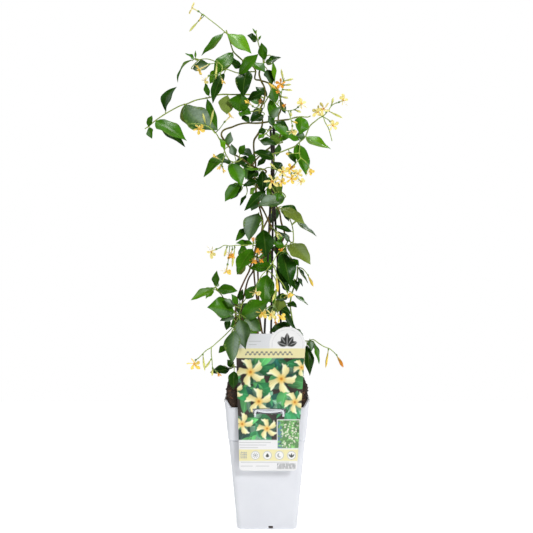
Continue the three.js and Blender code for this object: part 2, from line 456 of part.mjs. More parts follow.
// A leaf's own axes: along it, across it, and out of its upper face. With no turn the upper face looks
// to the front, and the turn tips it to the sky, or outwards where the leaf hangs straight down. It bows
// to the front or the back, and it can bend to its side, the right-hand one from base to tip.
function leafAxes(base, tip, turn) {
  const along = tip.clone().sub(base).normalize();
  const front = new THREE.Vector3(0, -1, 0);
  front.addScaledVector(along, -front.dot(along)).normalize();
  const side = new THREE.Vector3().crossVectors(along, front);
  const upward = Math.abs(side.z) > 0.35 ? Math.sign(side.z) : Math.sign(side.x * (base.x || 1));
  const angle = THREE.MathUtils.degToRad(turn);
  const face = front.clone().multiplyScalar(Math.cos(angle));
  face.addScaledVector(side, upward * Math.sin(angle));
  const across = new THREE.Vector3().crossVectors(along, face);
  const bow = front.clone().multiplyScalar(Math.sign(Math.cos(angle)));
  return { along, across, face, side, bow };
}

function leafHalfWidth(t) {
  return Math.pow(Math.sin(Math.PI * Math.pow(t, 0.85)), 0.8);
}

// True where a stalk from its root runs on into the thing it carries without folding back.
function runsOn(root, foot, along) {
  return foot.clone().sub(root).normalize().dot(along) > STRAIGHT_ENOUGH;
}

// A blade bowed along its length, with its two halves raised from the midrib. It is thickest at the
// midrib, and it narrows to a stalk that ends at the root, inside the stem.
function blade(root, base, tip, { width, turn, bend }, grow) {
  const { along, across, face, side, bow } = leafAxes(base, tip, turn);
  const length = base.distanceTo(tip);
  const skin = LEAF_THICKNESS / 2 + grow;
  const joined = runsOn(root, base, along);
  const start = joined ? root : base.clone().addScaledVector(along, -TUCK);
  const stations = LEAF_STATIONS.map((t) => ({
    middle: base.clone().addScaledVector(along, t * length)
      .addScaledVector(bow, LEAF_BOW * length * 4 * t * (1 - t))
      .addScaledVector(side, bend * 4 * t * (1 - t)),
    half: leafHalfWidth(t) * width / 2 + grow,
    fold: LEAF_FOLD,
  }));
  if (joined && base.distanceTo(root) > SHORT_STALK) {
    stations.unshift({ middle: base, half: STALK_RADIUS + grow, fold: 0 });
  }
  const points = [start];
  for (const { middle, half, fold } of stations) {
    const edge = middle.clone().addScaledVector(face, fold * half);
    points.push(edge.clone().addScaledVector(across, -half), middle.clone().addScaledVector(face, -skin),
      edge.clone().addScaledVector(across, half), middle.clone().addScaledVector(face, skin));
  }
  const end = points.push(tip.clone().addScaledVector(along, grow)) - 1;
  const faces = [];
  for (let i = 0; i < 4; i += 1) {
    const next = (i + 1) % 4;
    faces.push(0, 1 + i, 1 + next);
    for (let k = 1; k + 4 < end; k += 4) {
      faces.push(k + i, k + 4 + i, k + 4 + next, k + i, k + 4 + next, k + next);
    }
    faces.push(end, end - 4 + next, end - 4 + i);
  }
  const solids = [closedSkin(points, faces)];
  if (!joined) {
    solids.push(rod(root, start.clone().lerp(stations[0].middle, 0.25), STALK_RADIUS + grow));
  }
  return solids;
}

// One leaf on its stalk, and its partner on the far side of the stem.
function leafWithStalk(leaf, routes, grow) {
  const [baseX, baseZ, tipX, tipZ, seenWidth, turn, baseDepth, tipDepth, , pair, bend = 0] = leaf;
  const width = seenWidth / Math.abs(Math.cos(THREE.MathUtils.degToRad(turn)));
  const base = sighted([baseX, baseZ, baseDepth]);
  const tip = sighted([tipX, tipZ, tipDepth]);
  const solids = blade(nearestOn(routes, base), base, tip, { width, turn, bend }, grow);
  if (pair) {
    const farBase = sighted([baseX, baseZ, baseDepth + PAIR_OFFSET]);
    const farTip = sighted([baseX + (tipX - baseX) * PAIR_SIZE, baseZ + (tipZ - baseZ) * PAIR_SIZE,
      Math.abs(tipDepth) + PAIR_OFFSET]);
    const shape = { width: width * PAIR_WIDTH, turn: 180 - turn, bend: bend * PAIR_SIZE };
    solids.push(...blade(nearestOn(routes, farBase), farBase, farTip, shape, grow));
  }
  return solids;
}

function leafyShoot({ thick, routes, leaves }, grow) {
  const solids = [];
  for (const route of routes) {
    solids.push(tube(stemPoints(route), thick / 2 + grow, 4, routeSteps(route)));
  }
  for (const leaf of leaves) {
    solids.push(...leafWithStalk(leaf, routes, grow));
  }
  return wasm.Manifold.union(solids);
}

function bareStem({ thick, route }, grow) {
  return tube(route.map(sighted), thick / 2 + grow, 5, routeSteps(route));
}

// A plane's two axes, square to a direction.
function planeAxes(direction, hint) {
  const aside = hint.clone().addScaledVector(direction, -hint.dot(direction)).normalize();
  return [aside, new THREE.Vector3().crossVectors(direction, aside)];
}

function ringRound(centre, [aside, other], corners) {
  return corners.map(([radius, degrees]) => {
    const angle = THREE.MathUtils.degToRad(degrees);
    return centre.clone().addScaledVector(aside, radius * Math.cos(angle))
      .addScaledVector(other, radius * Math.sin(angle));
  });
}

// Five petals set like a pinwheel on the mouth of a slim tube, on a stalk that ends at the root.
function flower(root, foot, face, span, spin, grow) {
  const out = face.clone().sub(foot).normalize();
  const axes = planeAxes(out, new THREE.Vector3(0, 0, 1));
  const skin = PETAL_THICKNESS / 2 + grow;
  const petals = [];
  const mouth = [];
  for (let p = 0; p < PETALS; p += 1) {
    const turn = spin + p * 360 / PETALS;
    mouth.push([0.055 * span + 0.2 + grow, turn - 10]);
    petals.push(...PETAL_OUTLINE.map(([far, angle]) => [far * span / 2 + grow, turn + angle]));
  }
  const star = ringRound(face, axes, petals).map((point) =>
    point.addScaledVector(out, PETAL_RISE * point.distanceTo(face)));
  const joined = runsOn(root, foot, out);
  const start = joined ? root : foot.clone().addScaledVector(out, -TUCK);
  const narrow = ringRound(foot, axes, mouth.map(([, angle]) => [STALK_RADIUS + grow, angle]));
  const throat = ringRound(face.clone().addScaledVector(out, -skin), axes, mouth);
  const points = [start, ...narrow, ...throat, ...star, face.clone().addScaledVector(out, skin)];
  const throatAt = 1 + PETALS;
  const starAt = throatAt + PETALS;
  const faces = [];
  for (let p = 0; p < PETALS; p += 1) {
    const next = (p + 1) % PETALS;
    faces.push(0, 1 + next, 1 + p);
    faces.push(1 + p, 1 + next, throatAt + next, 1 + p, throatAt + next, throatAt + p);
    const k = starAt + 3 * p;
    faces.push(throatAt + p, k + 1, k, throatAt + p, k + 2, k + 1);
    faces.push(throatAt + p, starAt + 3 * next, k + 2, throatAt + p, throatAt + next, starAt + 3 * next);
  }
  for (let i = 0; i < star.length; i += 1) {
    faces.push(points.length - 1, starAt + i, starAt + (i + 1) % star.length);
  }
  const solids = [closedSkin(points, faces)];
  if (!joined) {
    solids.push(rod(root, foot.clone().addScaledVector(out, LAP), STALK_RADIUS + grow));
  }
  return solids;
}

// A bud, or a flower that has curled up, is a spindle on a stalk that ends at the root.
function spindle(root, foot, tip, width, grow) {
  const along = tip.clone().sub(foot).normalize();
  const axes = planeAxes(along, new THREE.Vector3(0, 1, 0));
  const ring = (t, radius) => ringRound(foot.clone().lerp(tip, t), axes,
    [45, 135, 225, 315].map((angle) => [radius + grow, angle]));
  const joined = runsOn(root, foot, along);
  const start = joined ? root : foot.clone().addScaledVector(along, -TUCK);
  const solids = [loft([ring(0, STALK_RADIUS), ring(0.66, width / 2)], start,
    tip.clone().addScaledVector(along, grow))];
  if (!joined) {
    solids.push(rod(root, foot.clone().addScaledVector(along, LAP), STALK_RADIUS + grow));
  }
  return solids;
}

function spray({ stalks, flowers, buds }, grow) {
  const solids = [];
  for (const stalk of stalks) {
    solids.push(tube(stemPoints(stalk), STALK_RADIUS + grow, STALK_SIDES, routeSteps(stalk)));
  }
  for (const one of flowers) {
    const face = sighted(one);
    const foot = sighted(one.slice(3, 6));
    const [span, spin] = one.slice(6);
    const root = nearestOn(stalks, foot);
    if (span <= CURLED_SPAN) {
      solids.push(...spindle(root, foot, foot.clone().lerp(face, 1.2), span * 0.6, grow));
    } else {
      solids.push(...flower(root, foot, face, span, spin, grow));
    }
  }
  for (const one of buds) {
    const foot = sighted(one);
    solids.push(...spindle(nearestOn(stalks, foot), foot, sighted(one.slice(3, 6)), one[6], grow));
  }
  return wasm.Manifold.union(solids);
}

// A square ring with round corners, at one height. The wave makes rough soil of it.
function squareRing(half, corner, z, wave = 0) {
  const ring = [];
  for (let quarter = 0; quarter < 4; quarter += 1) {
    for (let i = 0; i <= 4; i += 1) {
      const angle = (quarter + i / 4) * Math.PI / 2;
      const cx = (half - corner) * Math.sign(Math.cos(quarter * Math.PI / 2 + Math.PI / 4));
      const cy = (half - corner) * Math.sign(Math.sin(quarter * Math.PI / 2 + Math.PI / 4));
      const bump = wave * Math.sin(5.3 * angle + z);
      const reach = corner + bump;
      ring.push(new THREE.Vector3(cx + reach * Math.cos(angle), cy + reach * Math.sin(angle),
        z + wave * Math.cos(3.7 * angle + z)));
    }
  }
  return ring;
}

function potHalf(z) {
  return POT_BASE_HALF + (POT_RIM_HALF - POT_BASE_HALF) * z / POT_HEIGHT;
}

function axisPoint(z) {
  return new THREE.Vector3(0, 0, z);
}

function box(x0, x1, y0, y1, z0, z1) {
  const geometry = new THREE.BoxGeometry(x1 - x0, y1 - y0, z1 - z0);
  geometry.translate((x0 + x1) / 2, (y0 + y1) / 2, (z0 + z1) / 2);
  return toSolid(geometry);
}

// The pot: a tapered square shell with a raised collar, front and back walls cut lower between the corners,
// a drain notch in the foot of each side, and the tab on the rim that the label hangs on.
function makePot() {
  const levels = [[0, -1.2], [1.5, 0], [COLLAR_HEIGHT, 0], [COLLAR_HEIGHT + 1, COLLAR_STEP],
    [POT_HEIGHT, COLLAR_STEP]];
  const outer = loft(levels.map(([z, step]) => squareRing(potHalf(z) + step, POT_CORNER, z)),
    axisPoint(0), axisPoint(POT_HEIGHT));
  const inside = [POT_WALL, POT_HEIGHT + 1];
  const hollow = loft(inside.map((z) => squareRing(potHalf(z) - POT_WALL, POT_CORNER - 1, z)),
    axisPoint(inside[0]), axisPoint(inside[1]));
  let pot = outer.subtract(hollow);
  const reach = POT_RIM_HALF + 4;
  const wide = DIP_HALF + DIP_SLOPE;
  const dip = new THREE.Shape([
    new THREE.Vector2(-wide, POT_HEIGHT + 2), new THREE.Vector2(-DIP_HALF, POT_HEIGHT - FRONT_WALL_DROP),
    new THREE.Vector2(DIP_HALF, POT_HEIGHT - FRONT_WALL_DROP), new THREE.Vector2(wide, POT_HEIGHT + 2),
  ]);
  const cutter = new THREE.ExtrudeGeometry(dip, { depth: 2 * reach, bevelEnabled: false });
  cutter.rotateX(Math.PI / 2);
  cutter.translate(0, reach, 0);
  pot = pot.subtract(toSolid(cutter));
  const half = NOTCH_WIDTH / 2;
  const inner = POT_BASE_HALF - POT_WALL - 2;
  for (const [from, to] of [[-reach, -inner], [inner, reach]]) {
    pot = pot.subtract(box(NOTCH_OFFSET - half, NOTCH_OFFSET + half, from, to, -1, NOTCH_HEIGHT));
    pot = pot.subtract(box(from, to, -half, half, -1, NOTCH_HEIGHT));
  }
  const tabLeft = SLOT.left + 2;
  const tabRight = SLOT.right - 2;
  const lipFront = LABEL_FRONT - CLEARANCE - 1.4;
  const wallMiddle = -potHalf(SLOT.top) + POT_WALL / 2;
  pot = pot.add(box(tabLeft, tabRight, lipFront, wallMiddle, SLOT.top - 2.6, SLOT.top - 0.6));
  return pot.add(box(tabLeft, tabRight, lipFront, LABEL_FRONT - CLEARANCE, SLOT.bottom - 4, SLOT.top - 0.6));
}

// The root ball fills the pot and stands up above its rim.
function makeSoil() {
  const gap = POT_WALL + 0.4;
  const foot = gap + 0.1;
  const levels = [foot, POT_HEIGHT - 6].map((z) => squareRing(potHalf(z) - gap, POT_CORNER, z));
  levels.push(squareRing(potHalf(POT_HEIGHT) - gap - 0.3, 8, POT_HEIGHT + 1));
  levels.push(squareRing(SOIL_SWELL, 9, 190, 0.8));
  levels.push(squareRing(SOIL_SWELL - 2.6, 11, 198, 0.9));
  levels.push(squareRing(SOIL_TOP_HALF, 13, SOIL_TOP, 1));
  return loft(levels, axisPoint(foot), axisPoint(SOIL_TOP + 3));
}

// The label: a thin plate narrower at its foot, with a round badge at its top corner and the tab's slot.
function makeLabel() {
  const foot = 5;
  const [topLeft, footLeft] = LABEL_LEFT;
  const [topRight, footRight] = LABEL_RIGHT;
  const outline = new THREE.Shape();
  outline.moveTo(topLeft, LABEL_TOP);
  outline.lineTo(footLeft, LABEL_BOTTOM + foot);
  outline.quadraticCurveTo(footLeft, LABEL_BOTTOM, footLeft + foot, LABEL_BOTTOM);
  outline.lineTo(footRight - foot, LABEL_BOTTOM);
  outline.quadraticCurveTo(footRight, LABEL_BOTTOM, footRight, LABEL_BOTTOM + foot);
  outline.lineTo(topRight, BADGE_CENTRE[1]);
  outline.lineTo(BADGE_CENTRE[0], LABEL_TOP);
  const { left, right, bottom, top } = SLOT;
  outline.holes.push(new THREE.Path([
    new THREE.Vector2(left, bottom), new THREE.Vector2(right, bottom),
    new THREE.Vector2(right, top), new THREE.Vector2(left, top),
  ]));
  const options = { depth: LABEL_THICKNESS, bevelEnabled: false, curveSegments: 4 };
  const plate = new THREE.ExtrudeGeometry(outline, options);
  plate.rotateX(Math.PI / 2);
  plate.translate(0, LABEL_FRONT + LABEL_THICKNESS, 0);
  const badge = new THREE.CylinderGeometry(BADGE_RADIUS, BADGE_RADIUS, LABEL_THICKNESS, 28);
  badge.translate(BADGE_CENTRE[0], LABEL_FRONT + LABEL_THICKNESS / 2, BADGE_CENTRE[1]);
  return toSolid(plate).add(toSolid(badge));
}

// A ring drawn round the three canes.
function makeTie() {
  const [a, b, c] = Object.values(canes).map(({ route }) => {
    const [low, high] = route.map(sighted);
    return low.lerp(high, (TIE_HEIGHT - low.z) / (high.z - low.z));
  });
  const flat = new THREE.Triangle(a.clone().setZ(0), b.clone().setZ(0), c.clone().setZ(0));
  const [ab, bc, ca] = [flat.a.distanceTo(flat.b), flat.b.distanceTo(flat.c), flat.c.distanceTo(flat.a)];
  const round = ab * bc * ca / (4 * flat.getArea());
  const weights = [bc * bc * (ab * ab + ca * ca - bc * bc), ca * ca * (ab * ab + bc * bc - ca * ca),
    ab * ab * (bc * bc + ca * ca - ab * ab)];
  const sum = weights[0] + weights[1] + weights[2];
  const centre = new THREE.Vector3();
  [flat.a, flat.b, flat.c].forEach((corner, i) => centre.addScaledVector(corner, weights[i] / sum));
  const radius = round + CANE_DIAMETER / 2 + TIE_THICKNESS / 2 + CLEARANCE;
  const ring = new THREE.TorusGeometry(radius, TIE_THICKNESS / 2, 5, 16);
  ring.translate(centre.x, centre.y, TIE_HEIGHT);
  return toSolid(ring);
}

const plant = new THREE.Group();
const placed = [];

function apart(one, other) {
  const a = one.boundingBox();
  const b = other.boundingBox();
  return [0, 1, 2].some((i) => a.min[i] > b.max[i] || b.min[i] > a.max[i]);
}

// Puts a piece in the group, cut back so that it keeps its clearance to every piece placed before it.
function place(name, make, material) {
  let solid = make(0);
  for (const earlier of placed) {
    if (!apart(solid, earlier)) {
      solid = solid.subtract(earlier);
    }
  }
  solid = largest(solid);
  placed.push(make(CLEARANCE));
  const mesh = new THREE.Mesh(toGeometry(solid), material);
  mesh.name = name;
  plant.add(mesh);
}

const caneFinish = finish(COLOURS.cane, 0.6);
for (const [name, cane] of Object.entries(canes)) {
  place(name, (grow) => bareStem(cane, grow), caneFinish);
}
place("tie", () => makeTie(), finish(COLOURS.tie, 0.5));
const vineFinish = finish(COLOURS.vine, 0.75);
for (const [name, vine] of Object.entries(vines)) {
  place(name, (grow) => bareStem(vine, grow), vineFinish);
}
for (const [name, shoot] of Object.entries(shoots)) {
  const colour = meanColour(LEAF_TONES, shoot.leaves.map((leaf) => leaf[8]));
  place(name, (grow) => leafyShoot(shoot, grow), finish(colour, 0.35));
}
for (const [name, one] of Object.entries(sprays)) {
  const tones = [...one.flowers.map((item) => item[8]), ...one.buds.map((item) => item[7])];
  place(name, (grow) => spray(one, grow), finish(meanColour(FLOWER_TONES, tones), 0.6));
}
place("soil", () => makeSoil(), finish(COLOURS.soil, 0.95));
place("pot", () => makePot(), finish(COLOURS.pot, 0.45));
place("label", () => makeLabel(), finish(COLOURS.label, 0.4));

export default plant;
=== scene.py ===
import math
import bpy
import numpy as np
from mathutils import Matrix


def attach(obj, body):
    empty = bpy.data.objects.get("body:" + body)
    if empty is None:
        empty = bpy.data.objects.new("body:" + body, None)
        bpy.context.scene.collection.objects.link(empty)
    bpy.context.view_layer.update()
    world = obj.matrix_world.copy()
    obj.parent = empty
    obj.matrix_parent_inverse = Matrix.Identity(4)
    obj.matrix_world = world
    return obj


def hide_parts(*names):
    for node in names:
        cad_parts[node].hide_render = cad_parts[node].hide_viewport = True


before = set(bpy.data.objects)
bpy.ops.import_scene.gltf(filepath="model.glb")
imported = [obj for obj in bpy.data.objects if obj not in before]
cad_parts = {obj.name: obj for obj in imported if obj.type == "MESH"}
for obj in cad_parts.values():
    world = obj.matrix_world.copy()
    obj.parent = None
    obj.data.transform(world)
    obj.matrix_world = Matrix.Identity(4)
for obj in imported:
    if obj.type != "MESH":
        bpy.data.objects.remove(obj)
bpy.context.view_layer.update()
mm = 0.001
print("frame loaded:", len(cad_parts), "nodes")


def putObject(name, data):
    # A new object in the scene; a piece stays at the origin, with its place in its mesh.
    made = bpy.data.objects.new(name, data)
    bpy.context.scene.collection.objects.link(made)
    return made


# The plan's points are [across, up, depth] in mm: where a point is seen by this eye, in the upright plane
# through the pot's axis, and how far behind that plane it lies.
eye = {"across": -0.7, "distance": 1200, "height": 356.3, "lens": 57.9, "sensor": 36, "nearest": 0.01}

camera = putObject("camera", bpy.data.cameras.new("camera"))
camera.location = (eye["across"] * mm, -eye["distance"] * mm, eye["height"] * mm)
camera.rotation_euler = (math.pi / 2, 0, 0)
camera.data.lens = eye["lens"]
camera.data.sensor_width = eye["sensor"]
camera.data.clip_start = eye["nearest"]
bpy.context.scene.camera = camera
bpy.context.scene.view_settings.view_transform = "Standard"

# A route is a list of plan points. A leaf's row is [base across, base up, tip across, tip up, width, turn in
# degrees, base depth, tip depth, tone, 1 for a partner across the stem, sideways bend]; the last three are 0
# where they are left out. A flower's row is its face point, foot point, span, spin in degrees and tone, and a
# bud's is its foot point, tip point, width and tone.
vines = {
    "vine_loop": {"thick": 2.5, "route": [[-38,120,-14],[-40,200,-18],[-43,250,-22],[-44,280,-24],
     [-43,305,-24],[-38,322,-24],[-30,340,-24],[-25,350,-24],[-20,366,-24],[-12,385,-25],[1,401,-24],
     [6,412,-18],[3,418,-17],[-4,433,-15],[-12,447,-2],[-16,460,7],[-12,474,10],[-5,484,5],[-1,489,-5],
     [-4,492,-11],[-12,493,-13],[-25,500,-14],[-35,507,-15],[-42,511,-16],[-48,515,-16],[-53,524,-16],
     [-58,530,-15],[-62,536,-14],[-64,541,-13],[-62,546,-12],[-57,549,-12],[-50,551,-13],[-40,555,-15],
     [-30,557,-17],[-12,557,-19],[10,560,-18],[30,562,-15]]},
    "vine_twining": {"thick": 2.5, "route": [[-30,120,10],[-30,198,10],[-32,240,8],[-34,280,2],[-35,303,-8],
     [-31,320,-14],[-28,333,-16],[-25,341,-16],[-21,347,-12],[-16,358,6],[-6,368,24],[8,378,28],[20,390,22],
     [24.5,402,8],[20,418,-6],[16,436,-16],[4,450,-19],[-8,462,-18],[-18,474,-10],[-22,488,2],[-18,502,14],
     [-6,515,20],[8,526,18],[18,538,10],[20,550,-2],[16,560,-10],[16,567,-12],[19,575,-10],[19,590,-6],
     [16,601,0],[10,609,6],[0,614,10],[-10,617,6],[-17,619,-3],[-16,630,-6],[-19,636,-9],[-26,641,-8],
     [-33,644,-6]]},
    "vine_inner": {"thick": 2.6, "route": [[-16,120,0],[-16,198,0],[-14,240,4],[-12,280,6],[-12,320,2],
     [-13,352,-4],[-14,368,-12],[-10,390,-12],[-7,408,-12],[-6,420,-12],[-9,433,-11],[-14,455,-4],
     [-17,480,0],[-16,500,-6],[-18,515,-10],[-18,533,-10],[-13,541,-10],[-7,553,-12],[-7,565,-12],
     [-11,572,-11],[-9,578,-10],[-4,590,-10],[-3,605,-9],[-9,618,-12],[-11,627,-14],[-8,636,-11]]},
    "vine_back": {"thick": 2.6, "route": [[8,120,30],[8,200,31],[-6,260,33],[-14,310,33],[-18,345,31],
     [-18,372,33],[-10,400,30],[4,430,26],[8,460,24],[6,490,25]]},
}
canes = {
    "cane_left": {"thick": 3, "route": [[-14,25,-24],[9.4,553,-4.7]]},
    "cane_right": {"thick": 3, "route": [[33,25,6],[4.6,553,0.2]]},
    "cane_back": {"thick": 3, "route": [[2,25,34],[10.2,553,4.4]]},
}
